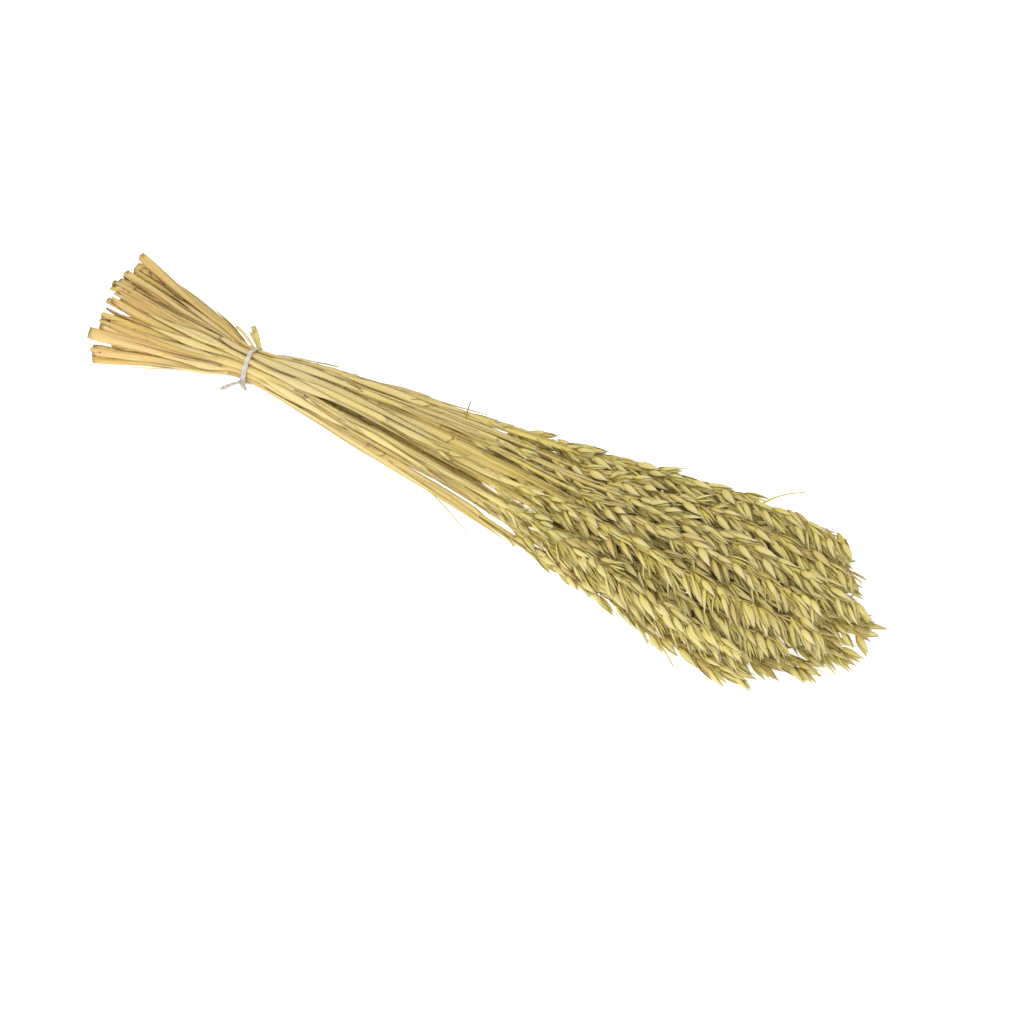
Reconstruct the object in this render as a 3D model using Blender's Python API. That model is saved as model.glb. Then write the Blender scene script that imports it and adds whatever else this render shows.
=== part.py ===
"""A bundle of dried oats, lying on a surface and tied near its cut ends.

The bundle lies along X with its heads at +X, and the surface is at Z = 0. Each stalk runs from a cut
end, through the tie, to the tip of its head, and a few dry leaves run between the stalks. All of them
are laid out as discs in slices across the bundle. The discs are pushed apart until none overlaps, so
that every straw, head and leaf has a space of its own.
"""

import math
import random
from dataclasses import dataclass

import bmesh
import bpy
import numpy as np
from mathutils import Matrix, Vector

SEED = 7
STALKS = 28

# Places along the bundle, in metres from the middle of its length.
BUTT_END, TIE_X, TIP_END = -0.350, -0.205, 0.350
UNEVEN_BUTTS, UNEVEN_TIPS = 0.012, 0.030  # how far a stalk may fall short of the ends
CUT_ROOM = 0.0007  # how far a slanting cut end reaches past its middle
BUTTS_SLANT = 0.024  # how much shorter the cut ends are on the near side
LONGEST = 0  # the stalk whose head ends the bundle
FRONT_SHORT, BACK_SHORT = 0.085, 0.050  # how much shorter the heads are at the sides of the bundle
SIDE_POWER = 1.15  # keeps the middle heads long
SLICE = 0.010

# The only places where a strand bends, measured from the tie.
BENDS = (-0.145, -0.080, -0.035, -0.012, 0.012, 0.050, 0.110)
BENDS += (0.170, 0.230, 0.290, 0.350, 0.410, 0.480, 0.555)

# The bundle's outline: distance from the tie, half width, half height, and its middle's place
# across the bundle and above the surface.
OUTLINE = (
    (-0.145, 0.061, 0.033, 0.0239, 0.029),
    (-0.090, 0.045, 0.027, 0.0249, 0.027),
    (-0.045, 0.030, 0.021, 0.0259, 0.026),
    (-0.012, 0.012, 0.012, 0.0239, 0.025),
    (0.012, 0.012, 0.012, 0.0239, 0.025),
    (0.050, 0.018, 0.017, 0.0255, 0.025),
    (0.150, 0.028, 0.022, 0.0238, 0.027),
    (0.250, 0.041, 0.027, 0.0163, 0.030),
    (0.320, 0.055, 0.031, 0.0069, 0.033),
    (0.370, 0.062, 0.034, 0.0019, 0.034),
    (0.470, 0.070, 0.035, -0.0031, 0.035),
    (0.555, 0.071, 0.035, -0.0031, 0.035),
)
BUTT_TWIST, HEAD_TWIST = -0.30, 0.30  # turn of the bundle about its middle, in radians
PARTING = ((0.030, 0.110, 0.230, 0.320), (0.0, 0.005, 0.005, 0.0))  # a gap on the near side, and its width
PARTED_FROM = -0.46  # the stalks on the near side of the gap, as a share of the half width
PARTED_BACK = 0.4  # how far the others move away from it, as a share of its width
SETTLED = 0.8  # power that lays more stalks near the surface than a round bundle has
STRAY = 0.0035  # how far a stalk wanders from its place, in metres

# A stalk: its straw is thickest at the cut end, and its head is a long plait of spikelets.
STRAW_RADIUS = 0.0020
STRAW_SHARES = (1.8, 1.0, 1.45, 1.2, 0.75, 0.3)  # of the radius: cut end, tie, two marks, head, tip
STRAW_MARKS = (0.060, 0.140)  # where the straw is thickest, wrapped in its leaf sheaths, from the tie
STRAW_GAP = 0.0005
HEAD_LENGTH = 0.215
HEAD_SHARES = (0.0, 0.07, 0.30, 0.70, 0.90, 1.0)
HEAD_RADII = (0.0042, 0.0066, 0.0087, 0.0096, 0.0090, 0.0070)
HEAD_GAP = 0.0006
HEAD_SEAM = 0.0004  # left between a straw and its own head
FAR_LONGER = 0.085  # how much longer the heads are on the far side
HEAD_VARIES = (0.85, 1.15)  # shares of the head's length
GIRTH_VARIES = (0.80, 1.20)  # shares of the straw's radius

SPIKELETS = 17
SPIKELET_LENGTH, SPIKELET_WIDTH, SPIKELET_DEPTH = 0.026, 0.0088, 0.0068
SPIKELET_WIDEST = 0.44  # share of its length from the root
SPIKELET_SIDES = 4
FIRST_ROOT = 0.004  # from the start of the head
MOST_LEAN = 0.6  # of a spikelet away from the stem, as a sine
LEAN_VARIES = (0.72, 1.0)  # shares of the lean that its room allows

# Dry leaves: distance of each end from the tie, width, side of the bundle in radians, and reach.
LEAVES = (
    (-0.030, 0.205, 0.0070, 1.75, 1.05),
    (-0.015, 0.270, 0.0050, 3.30, 1.00),
    (-0.020, 0.240, 0.0040, 4.05, 1.00),
)
LEAF_THICKNESS = 0.0010
LEAF_FOLD = 0.25  # how deep it is folded along its middle, as a share of half its width
LEAF_EDGE = 0.95  # where its edges are, as a share of the space it has
LEAF_ROLLED = (0.014, 0.060)  # distances from the tie where it is still rolled up, and where it is flat
ROLL_DEPTH = 1.2  # thickness of the rolled part, as a share of half its width
LEAF_TIED = ((0.004, 0.030), 0.8)  # where it narrows at the tie, and its share of a straw's radius there
LEAF_SHARES = (0.0, 0.15, 0.5, 0.8, 1.0)
LEAF_WIDTHS = (0.55, 0.9, 1.0, 0.7, 0.25)

# How the stalks settle against each other and on the surface. In the quiet rounds they are only pushed.
ROUNDS, QUIET_ROUNDS = 500, 160
PULL, STIFFNESS = 0.12, 0.10
STRAW_PRESSED, HEAD_PRESSED = 0.0004, 0.0036  # how far each may reach under the surface, to be cut flat

# The tie is a band round all the straws, with a knot and two tails on the near side.
TIE_WIDTH, TIE_THICKNESS, TIE_GAP = 0.0050, 0.0012, 0.0004
TIE_STEPS = 24
KNOT_TURN, KNOT_SIZE = 3.75, (0.0070, 0.0050, 0.0046)
KNOT_RAISED = 0.0012  # its middle above the band
TAILS = ((-0.017, 0.0075), (0.007, 0.0062))  # how far each runs along the bundle, and outwards
TAIL_STEPS = (0.0, 0.3, 0.65, 1.0)
TAIL_RADIUS = 0.0007

STRAW_COLOUR = (0.64, 0.44, 0.17, 1)
HEAD_COLOUR = (0.50, 0.43, 0.17, 1)
LEAF_COLOUR = (0.62, 0.52, 0.25, 1)
TIE_COLOUR = (0.82, 0.80, 0.76, 1)


@dataclass
class Strand:
    """A stalk or a dry leaf: where it starts, where its head begins, where it ends, its radius and
    its spot in the bundle. A leaf has no head, so its head begins at its end."""

    start: float
    head: float
    end: float
    girth: float
    reach: float
    turn: float
    leaf: bool = False


def make_strands(draw):
    """The stalks, whose cut ends and tips are uneven by a few centimetres, and then the leaves."""
    golden = math.pi * (3 - math.sqrt(5))
    strands = []
    for number in range(STALKS):
        reach, turn = math.sqrt((number + 0.5) / STALKS), number * golden
        aside = reach * math.cos(turn + HEAD_TWIST)
        end = TIP_END - UNEVEN_TIPS * draw.random()
        end -= abs(aside) ** SIDE_POWER * (BACK_SHORT if aside > 0 else FRONT_SHORT)
        head = end - HEAD_LENGTH * draw.uniform(*HEAD_VARIES) - FAR_LONGER * max(aside, 0)
        slant = (1 - reach * math.cos(turn + BUTT_TWIST)) / 2
        start = BUTT_END + UNEVEN_BUTTS * draw.random() + BUTTS_SLANT * slant
        girth = STRAW_RADIUS * draw.uniform(*GIRTH_VARIES)
        strands.append(Strand(start, head, end, girth, reach, turn))
    strands[LONGEST].end = TIP_END
    shortfall = min(strand.start for strand in strands) - BUTT_END - CUT_ROOM
    for strand in strands:
        strand.start -= shortfall
    for start, end, width, turn, reach in LEAVES:
        strands.append(Strand(TIE_X + start, TIE_X + end, TIE_X + end, width / 2, reach, turn, True))
    return strands


def straw_radius(strand, x):
    """Half the thickness of a stalk's straw, or of the stem inside its head, at x."""
    marks = (strand.start, TIE_X, *(TIE_X + mark for mark in STRAW_MARKS), strand.head, strand.end)
    return strand.girth * np.interp(x, marks, STRAW_SHARES)


def leaf_radius(strand, x):
    """Half the width of a leaf at x. It is folded narrow where it passes through the tie."""
    share = (x - strand.start) / (strand.end - strand.start)
    near_tie, tied = LEAF_TIED
    folded = np.interp(abs(x - TIE_X), near_tie, (STRAW_RADIUS / strand.girth * tied, 1))
    return strand.girth * np.minimum(np.interp(share, LEAF_SHARES, LEAF_WIDTHS), folded)


def head_radius(strand, x):
    """The radius of the space that a stalk's head fills at x."""
    share = (x - strand.head) / (strand.end - strand.head)
    return np.interp(share, HEAD_SHARES, HEAD_RADII)


def slice_radii(strands, xs):
    """The radius that each strand needs in each slice, and 0 where it isn't."""
    radii = np.zeros((len(strands), len(xs)))
    for row, strand in zip(radii, strands):
        if strand.leaf:
            row[:] = leaf_radius(strand, xs) + STRAW_GAP / 2
        else:
            straw = straw_radius(strand, xs) + STRAW_GAP / 2
            row[:] = np.where(xs < strand.head - SLICE, straw, head_radius(strand, xs) + HEAD_GAP / 2)
        row[(xs < strand.start - SLICE) | (xs > strand.end + SLICE)] = 0
    return radii


def aims(strands, xs, radii, draw):
    """Where each strand would run in a bundle of this outline, twisted about its middle."""
    reach = np.array([[strand.reach] for strand in strands])
    turn = np.array([[strand.turn] for strand in strands])
    from_tie, *columns = np.array(OUTLINE).T
    wide, high, sideways, above = (np.interp(xs - TIE_X, from_tie, column) for column in columns)
    twist = np.interp(xs, (BUTT_END, TIE_X, TIP_END), (BUTT_TWIST, 0, HEAD_TWIST))
    across = reach * np.cos(turn + twist)
    up = reach * np.sin(turn + twist)
    up = np.where(up < 0, -abs(up) ** SETTLED, up)
    stray = np.array([[draw.gauss(0, STRAY) for _ in range(6)] for _ in strands])
    marks = (BUTT_END, (BUTT_END + TIE_X) / 2, TIE_X, TIE_X + 0.2, TIP_END)
    y_stray = np.array([np.interp(xs, marks, (*row[:2], 0, *row[2:4])) for row in stray])
    z_stray = np.array([np.interp(xs, marks, (row[4], row[4], 0, row[5], row[5])) for row in stray])
    parted = np.interp(xs - TIE_X, *PARTING) * np.where(across < PARTED_FROM, -1, PARTED_BACK)
    y = sideways + across * (wide - radii) + y_stray + parted
    z = above + up * (high - radii) + z_stray
    return np.stack([y, z], axis=-1)


def push_apart(places, radii):
    """Moves overlapping discs of each slice apart, each by half of the overlap."""
    away = places[:, None] - places[None]
    distance = np.linalg.norm(away, axis=-1) + 1e-9
    there = (radii[:, None] > 0) & (radii[None] > 0)
    overlap = np.where(there, radii[:, None] + radii[None] - distance, 0).clip(0)
    overlap[np.arange(len(places)), np.arange(len(places))] = 0
    places += 0.5 * (away / distance[..., None] * overlap[..., None]).sum(axis=1)


def settle(strands, draw):
    """The bends' places along X, and the (y, z) of each strand at each of them."""
    bends = TIE_X + np.array(BENDS)
    slices = np.arange(BUTT_END, TIP_END + SLICE / 2, SLICE)
    share = np.array([np.interp(slices, bends, unit) for unit in np.eye(len(bends))])
    radii = slice_radii(strands, slices)
    low = radii - np.where(radii > 2 * STRAW_RADIUS, HEAD_PRESSED, STRAW_PRESSED)
    aim = aims(strands, bends, slice_radii(strands, bends), draw)
    places = aim.copy()
    before, after = bends[1:-1] - bends[:-2], bends[2:] - bends[1:-1]
    weight = (before / (before + after))[None, :, None]
    for round_ in range(ROUNDS + QUIET_ROUNDS):
        ease = max(0.0, 1 - round_ / ROUNDS)
        places += PULL * ease * (aim - places)
        straight = places[:, :-2] * (1 - weight) + places[:, 2:] * weight
        places[:, 1:-1] += STIFFNESS * ease * (straight - places[:, 1:-1])
        discs = np.einsum("nbk,bs->nsk", places, share)
        moved = discs.copy()
        push_apart(moved, radii)
        moved[..., 1] = np.maximum(moved[..., 1], low)
        moved -= discs
        pushed = (abs(moved).sum(axis=-1) > 0) @ share.T
        places += np.einsum("nsk,bs->nbk", moved, share) / np.maximum(pushed, 1e-9)[..., None]
    return bends, places


class Route:
    """The line that one strand follows through the bundle."""

    def __init__(self, xs, places):
        self.xs, self.places = xs, places

    def at(self, x):
        """The point of the line at x."""
        return Vector([x, *(float(np.interp(x, self.xs, self.places[:, k])) for k in (0, 1))])

    def along(self, x):
        """The direction of the line at x."""
        return (self.at(x + SLICE / 2) - self.at(x - SLICE / 2)).normalized()

    def stops(self, start, end):
        """The places between two ends where the line starts, bends and ends."""
        return [start, *(x for x in self.xs if start + 0.003 < x < end - 0.003), end]


def spikelet_places(strand, route, count, draw):
    """The root, direction and outer side of each spikelet of a head, spread round it in a spiral."""
    golden = math.pi * (3 - math.sqrt(5))
    start, found = draw.uniform(0, math.tau), []
    first_root, last_root = strand.head + FIRST_ROOT, strand.end - SPIKELET_LENGTH
    for k in range(count):
        root_x = first_root + (last_root - first_root) * k / (count - 1)
        along = route.along(root_x)
        side = Vector((0, math.cos(start + k * golden), math.sin(start + k * golden)))
        side = (side - side.dot(along) * along).normalized()
        tip_room = float(head_radius(strand, min(root_x + SPIKELET_LENGTH, strand.end)))
        body_room = float(head_radius(strand, root_x + SPIKELET_WIDEST * SPIKELET_LENGTH))
        body_room = max(body_room - SPIKELET_DEPTH / 2, 0)
        lean = min(tip_room / SPIKELET_LENGTH, body_room / (SPIKELET_WIDEST * SPIKELET_LENGTH))
        lean = math.asin(min(lean * draw.uniform(*LEAN_VARIES), MOST_LEAN))
        found.append((route.at(root_x), along * math.cos(lean) + side * math.sin(lean), side))
    return found


def clear_scene():
    for old in list(bpy.data.objects):
        bpy.data.objects.remove(old)


def make_material(name, colour, roughness):
    material = bpy.data.materials.new(name)
    material.use_nodes = True
    shader = material.node_tree.nodes["Principled BSDF"]
    shader.inputs["Base Color"].default_value = colour
    shader.inputs["Roughness"].default_value = roughness
    shader.inputs["Metallic"].default_value = 0
    return material


def evaluated_mesh(obj):
    """A new mesh of the object as its modifiers or its bevel make it, with its caps welded."""
    bpy.context.view_layer.update()
    mesh = bpy.data.meshes.new_from_object(obj.evaluated_get(bpy.context.evaluated_depsgraph_get()))
    shape = bmesh.new()
    shape.from_mesh(mesh)
    bmesh.ops.remove_doubles(shape, verts=shape.verts, dist=1e-7)
    shape.to_mesh(mesh)
    shape.free()
    return mesh


def tube(name, points, radii, collection, resolution=1):
    """A mesh tube along points, with its own radius at each."""
    curve = bpy.data.curves.new(name, "CURVE")
    curve.dimensions = "3D"
    curve.bevel_depth = STRAW_RADIUS
    curve.bevel_resolution = resolution
    curve.use_fill_caps = True
    spline = curve.splines.new("POLY")
    spline.points.add(len(points) - 1)
    for spot, point, radius in zip(spline.points, points, radii):
        spot.co = (*point, 1)
        spot.radius = radius / STRAW_RADIUS
    guide = bpy.data.objects.new(name + "_line", curve)
    collection.objects.link(guide)
    obj = bpy.data.objects.new(name, evaluated_mesh(guide))
    collection.objects.link(obj)
    bpy.data.objects.remove(guide)
    return obj


def loft(name, rings, collection, closed):
    """A mesh skin through rings of points, which either has flat ends or closes on itself."""
    shape = bmesh.new()
    rows = [[shape.verts.new(point) for point in ring] for ring in rings]
    for row, after in zip(rows, rows[1:] + rows[:1] if closed else rows[1:]):
        for k in range(len(row)):
            shape.faces.new((row[k - 1], row[k], after[k], after[k - 1]))
    if not closed:
        shape.faces.new(rows[0])
        shape.faces.new(rows[-1])
    bmesh.ops.recalc_face_normals(shape, faces=shape.faces)
    mesh = bpy.data.meshes.new(name)
    shape.to_mesh(mesh)
    shape.free()
    obj = bpy.data.objects.new(name, mesh)
    collection.objects.link(obj)
    return obj


def spikelet_mesh():
    """A spindle along +Z with its root at the origin, widest below its middle."""
    shape = bmesh.new()
    bmesh.ops.create_uvsphere(shape, u_segments=SPIKELET_SIDES, v_segments=2, radius=0.5)
    size = (SPIKELET_WIDTH, SPIKELET_DEPTH, SPIKELET_LENGTH)
    for vert in shape.verts:
        rim = abs(vert.co.z) < 0.25
        vert.co.z = SPIKELET_WIDEST if rim else vert.co.z + 0.5
        vert.co = Vector(a * b for a, b in zip(vert.co, size))
    mesh = bpy.data.meshes.new("spikelet")
    shape.to_mesh(mesh)
    shape.free()
    return mesh


def facing(root, direction, side):
    """The matrix that stands a spikelet on its root, along direction, with a flat side outwards."""
    z = direction.normalized()
    x = z.cross(side).normalized()
    turned = Matrix((x, z.cross(x), z)).transposed().to_4x4()
    return Matrix.Translation(root) @ turned


def combine(obj, pieces, operation="UNION"):
    """Joins a collection of pieces to obj, or cuts them from it, and removes them."""
    modifier = obj.modifiers.new("joined", "BOOLEAN")
    modifier.operation = operation
    modifier.operand_type = "COLLECTION"
    modifier.collection = pieces
    modifier.solver = "MANIFOLD"
    mesh = evaluated_mesh(obj)
    obj.modifiers.clear()
    obj.data = mesh
    for piece in list(pieces.objects):
        bpy.data.objects.remove(piece)
    bpy.data.collections.remove(pieces)


def press_flat(obj, cutters):
    """Cuts off what would reach under the surface, which leaves the flats that the bundle rests on."""
    if min(vert.co.z for vert in obj.data.vertices) >= 0:
        return
    slab = bpy.data.collections.new("surface")
    cutters.children.link(slab)
    bpy.ops.mesh.primitive_cube_add(size=1, location=(0, 0, -0.05))
    block = bpy.context.object
    block.scale = (1, 1, 0.1)
    slab.objects.link(block)
    combine(obj, slab, "DIFFERENCE")


def dress(obj, material):
    obj.data.materials.clear()
    obj.data.materials.append(material)
    obj.data.shade_smooth()
    obj.data.set_sharp_from_angle(angle=math.radians(50))


def make_straw(name, strand, route, collection):
    """A straw from its cut end to its head."""
    xs = route.stops(strand.start, strand.head - HEAD_SEAM)
    radii = [straw_radius(strand, x) for x in xs]
    return tube(name, [route.at(x) for x in xs], radii, collection)


def make_head(name, strand, route, draw, spindle, collection):
    """A head: the upper stem with spikelets fused to it on all sides."""
    xs = route.stops(strand.head, strand.end - 0.5 * SPIKELET_LENGTH)
    radii = [straw_radius(strand, x) for x in xs]
    head = tube(name, [route.at(x) for x in xs], radii, collection, resolution=0)
    grains = bpy.data.collections.new(name + "_spikelets")
    bpy.context.scene.collection.children.link(grains)
    for root, direction, side in spikelet_places(strand, route, SPIKELETS, draw):
        piece = bpy.data.objects.new(name + "_spikelet", spindle)
        piece.matrix_world = facing(root, direction, side)
        grains.objects.link(piece)
    combine(head, grains)
    return head


def make_leaf(name, strand, route, collection):
    """A dry leaf: a thin blade, folded a little along its middle, whose flat side faces outwards."""
    xs = route.stops(strand.start, strand.end)
    outwards = Vector((0, math.cos(strand.turn), math.sin(strand.turn)))
    rings = []
    for x in xs:
        half = float(leaf_radius(strand, x))
        middle, along = route.at(x), route.along(x)
        across = along.cross(outwards).normalized()
        thick = np.interp(abs(x - TIE_X), LEAF_ROLLED, (ROLL_DEPTH * half, LEAF_THICKNESS))
        up = across.cross(along) * float(thick) / 2
        fold = across.cross(along) * -LEAF_FOLD * half
        edge = across * half * LEAF_EDGE
        rings.append((middle - edge + fold, middle + up, middle + edge + fold, middle - up))
    return loft(name, rings, collection, closed=False)


def hull_point(places, radii, turn, margin):
    """The outermost point of all discs in a direction, moved outwards by margin."""
    towards = np.array((math.cos(turn), math.sin(turn)))
    outermost = int(np.argmax(places @ towards + radii))
    return places[outermost] + towards * (radii[outermost] + margin)


def make_tie(name, strands, xs, places, collection):
    """The band round the straws, with its knot and tails."""
    edges = (TIE_X - TIE_WIDTH / 2, TIE_X + TIE_WIDTH / 2)
    spots = np.array([Route(xs, place).at(x)[1:] for x in edges for place in places])
    widths = [leaf_radius if strand.leaf else straw_radius for strand in strands]
    radii = np.array([width(strand, x) for x in edges for width, strand in zip(widths, strands)])
    rings = []
    for step in range(TIE_STEPS):
        turn = math.tau * step / TIE_STEPS
        inner = hull_point(spots, radii, turn, TIE_GAP)
        outer = hull_point(spots, radii, turn, TIE_GAP + TIE_THICKNESS)
        corners = ((-1, inner), (-1, outer), (1, outer), (1, inner))
        rings.append([(TIE_X + end * TIE_WIDTH / 2, *spot) for end, spot in corners])
    band = loft(name, rings, collection, closed=True)
    extras = bpy.data.collections.new(name + "_ends")
    bpy.context.scene.collection.children.link(extras)
    spot = hull_point(spots, radii, KNOT_TURN, TIE_GAP + TIE_THICKNESS)
    outwards = Vector((0, math.cos(KNOT_TURN), math.sin(KNOT_TURN)))
    knot = Vector((TIE_X, *spot)) + outwards * KNOT_RAISED
    bpy.ops.mesh.primitive_uv_sphere_add(segments=6, ring_count=4, radius=0.5, location=knot)
    ball = bpy.context.object
    ball.scale = KNOT_SIZE
    extras.objects.link(ball)
    for run, rise in TAILS:
        rises = [rise * math.sin(share * math.pi / 2) for share in TAIL_STEPS]
        points = [knot + outwards * up + Vector((run * share, 0, 0)) for up, share in zip(rises, TAIL_STEPS)]
        tube(name + "_tail", points, [TAIL_RADIUS] * len(points), extras, resolution=0)
    combine(band, extras)
    return band


def main():
    clear_scene()
    bundle = bpy.data.collections.new("oat_bundle")
    cutters = bpy.data.collections.new("cutters")
    bpy.context.scene.collection.children.link(bundle)
    bpy.context.scene.collection.children.link(cutters)
    straw = make_material("straw", STRAW_COLOUR, 0.6)
    husk = make_material("husk", HEAD_COLOUR, 0.7)
    blade = make_material("dry_leaf", LEAF_COLOUR, 0.6)
    string = make_material("tie_band", TIE_COLOUR, 0.8)
    draw = random.Random(SEED)
    strands = make_strands(draw)
    xs, places = settle(strands, draw)
    spindle = spikelet_mesh()
    made = [(make_tie("tie", strands, xs, places, bundle), string)]
    for number, (strand, place) in enumerate(zip(strands, places), 1):
        route = Route(xs, place)
        if strand.leaf:
            made.append((make_leaf(f"leaf_{number - STALKS:02d}", strand, route, bundle), blade))
        else:
            made.append((make_straw(f"straw_{number:02d}", strand, route, bundle), straw))
            head = make_head(f"head_{number:02d}", strand, route, draw, spindle, bundle)
            made.append((head, husk))
    for obj, material in made:
        press_flat(obj, cutters)
        dress(obj, material)


main()
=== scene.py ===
"""The looks of a bundle of dried oats, which lies on a white surface, tied near its cut ends.

Each straw, head and leaf of the solid model, and its tie, gets a finer piece in its place. The first
functions repeat the layout of the solid model, so that every fine piece runs where its solid does.

Each point carries two attributes for the materials. Its mark is (along, across, kind): how far along
its form it is, how far across it from -1 to 1, and what it is made of. Its shade is (tone, hue, wear):
how light it is around 0, which of two colours it is closer to from 0 to 1, and how brown and worn it
is from 0 to 2. Lower tones also paint shade on the inner spikelets, the spikelets between heads, the
fillers between straws and the whiskers, and wear over 1.2 paints shade inside the straws' hollow cut
ends and on the whiskers.
"""

import itertools
import math
import random
from dataclasses import dataclass

import bpy
import numpy as np
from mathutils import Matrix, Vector

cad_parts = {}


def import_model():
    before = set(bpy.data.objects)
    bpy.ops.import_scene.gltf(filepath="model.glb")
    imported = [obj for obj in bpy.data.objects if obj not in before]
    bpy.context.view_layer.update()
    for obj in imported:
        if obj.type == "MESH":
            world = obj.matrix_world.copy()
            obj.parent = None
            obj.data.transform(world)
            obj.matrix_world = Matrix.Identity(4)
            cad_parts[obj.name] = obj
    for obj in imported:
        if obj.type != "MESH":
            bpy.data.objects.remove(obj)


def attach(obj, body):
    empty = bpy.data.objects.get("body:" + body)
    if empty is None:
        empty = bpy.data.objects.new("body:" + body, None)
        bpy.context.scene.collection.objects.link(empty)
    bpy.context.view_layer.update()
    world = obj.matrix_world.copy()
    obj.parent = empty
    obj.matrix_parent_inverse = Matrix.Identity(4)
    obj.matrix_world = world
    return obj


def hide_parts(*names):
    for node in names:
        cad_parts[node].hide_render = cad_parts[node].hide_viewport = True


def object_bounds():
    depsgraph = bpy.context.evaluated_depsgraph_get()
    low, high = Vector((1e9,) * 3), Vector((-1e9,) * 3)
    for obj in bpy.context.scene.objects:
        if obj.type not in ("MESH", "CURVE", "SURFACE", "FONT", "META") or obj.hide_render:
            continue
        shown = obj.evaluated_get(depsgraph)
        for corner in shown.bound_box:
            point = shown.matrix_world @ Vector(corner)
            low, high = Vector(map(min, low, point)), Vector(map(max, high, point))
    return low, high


SEED = 7
STALKS = 28
GOLDEN = math.pi * (3 - math.sqrt(5))  # the turn from one stalk or spikelet to the next

# The layout of the solid model, in metres, with the heads towards +X and the surface at Z = 0.
BUTT_END, TIE_X, TIP_END = -0.350, -0.205, 0.350
UNEVEN_BUTTS, UNEVEN_TIPS = 0.012, 0.030  # how far a stalk may fall short of the ends
CUT_ROOM = 0.0007  # how far a slanting cut end reaches past its middle
BUTTS_SLANT = 0.024  # how much shorter the cut ends are on the near side
LONGEST = 0  # the stalk whose head ends the bundle
FRONT_SHORT, BACK_SHORT = 0.085, 0.050  # how much shorter the heads are at the sides of the bundle
SIDE_POWER = 1.15  # keeps the middle heads long
SLICE = 0.010

# The only places where a strand bends, measured from the tie.
BENDS = (-0.145, -0.080, -0.035, -0.012, 0.012, 0.050, 0.110)
BENDS += (0.170, 0.230, 0.290, 0.350, 0.410, 0.480, 0.555)

# The bundle's outline: distance from the tie, half width, half height, and its middle's place
# across the bundle and above the surface.
OUTLINE = (
    (-0.145, 0.061, 0.033, 0.0239, 0.029),
    (-0.090, 0.045, 0.027, 0.0249, 0.027),
    (-0.045, 0.030, 0.021, 0.0259, 0.026),
    (-0.012, 0.012, 0.012, 0.0239, 0.025),
    (0.012, 0.012, 0.012, 0.0239, 0.025),
    (0.050, 0.018, 0.017, 0.0255, 0.025),
    (0.150, 0.028, 0.022, 0.0238, 0.027),
    (0.250, 0.041, 0.027, 0.0163, 0.030),
    (0.320, 0.055, 0.031, 0.0069, 0.033),
    (0.370, 0.062, 0.034, 0.0019, 0.034),
    (0.470, 0.070, 0.035, -0.0031, 0.035),
    (0.555, 0.071, 0.035, -0.0031, 0.035),
)
BUTT_TWIST, HEAD_TWIST = -0.30, 0.30  # turn of the bundle about its middle, in radians
PARTING = ((0.030, 0.110, 0.230, 0.320), (0.0, 0.005, 0.005, 0.0))  # a gap on the near side, and its width
PARTED_FROM = -0.46  # the stalks on the near side of the gap, as a share of the half width
PARTED_BACK = 0.4  # how far the others move away from it, as a share of its width
SETTLED = 0.8  # power that lays more stalks near the surface than a round bundle has
STRAY = 0.0035  # how far a stalk wanders from its place

STRAW_RADIUS = 0.0020
STRAW_SHARES = (1.8, 1.0, 1.45, 1.2, 0.75, 0.3)  # of the radius: cut end, tie, two marks, head, tip
STRAW_MARKS = (0.060, 0.140)  # where the straw is thickest, wrapped in its leaf sheaths, from the tie
STRAW_GAP = 0.0005
HEAD_LENGTH = 0.215
HEAD_SHARES = (0.0, 0.07, 0.30, 0.70, 0.90, 1.0)
HEAD_RADII = (0.0042, 0.0066, 0.0087, 0.0096, 0.0090, 0.0070)
HEAD_GAP = 0.0006
FAR_LONGER = 0.085  # how much longer the heads are on the far side
HEAD_VARIES = (0.85, 1.15)  # shares of the head's length
GIRTH_VARIES = (0.80, 1.20)  # shares of the straw's radius

# Dry leaves: distance of each end from the tie, width, side of the bundle in radians, and reach.
LEAVES = (
    (-0.030, 0.205, 0.0070, 1.75, 1.05),
    (-0.015, 0.270, 0.0050, 3.30, 1.00),
    (-0.020, 0.240, 0.0040, 4.05, 1.00),
)
LEAF_SHARES = (0.0, 0.15, 0.5, 0.8, 1.0)
LEAF_WIDTHS = (0.55, 0.9, 1.0, 0.7, 0.25)
LEAF_TIED = ((0.004, 0.030), 0.8)  # where it narrows at the tie, and its share of a straw's radius there

# How the stalks settle against each other and on the surface. In the quiet rounds they are only pushed.
ROUNDS, QUIET_ROUNDS = 500, 160
PULL, STIFFNESS = 0.12, 0.10
STRAW_PRESSED, HEAD_PRESSED = 0.0004, 0.0036  # how far each may reach under the surface
KNOT_TURN = 3.75  # round the tie, in radians

ROOM_INSET = 0.0003  # how far the fine pieces stay inside the solid model's box

# The kinds of the marks: of a straw and its leaves, and of a head.
STRAW, DRY_LEAF = 0.0, 1.0
HUSK, STEM = 0.0, 2.0
ASKEW = (0.31, 0.42, 0.85)  # a direction that no string runs in
NEAR_SIDE = (0.31, -0.58, 0.75)

# Husks: sizes, and a husk's width at shares of its length.
SPIKELET_LENGTH = 0.0218
HUSK_WIDTH, HUSK_DEPTH, HUSK_THICKNESS = 0.0067, 0.0020, 0.00028
HUSK_SHARES = (0.0, 0.10, 0.26, 0.44, 0.64, 0.84, 1.0)
HUSK_WIDTHS = (0.16, 0.58, 0.95, 1.0, 0.72, 0.29, 0.01)
HUSK_COLUMNS = 5
BOAT_ANGLE = 1.25  # how far round a husk's cross section curves each way
KEEL = 0.0003
FLORET_SHARES, FLORET_SIDES = (0.0, 0.18, 0.46, 0.76, 1.0), 6
FLORET_WIDTHS = (0.15, 0.75, 1.0, 0.62, 0.04)

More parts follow.
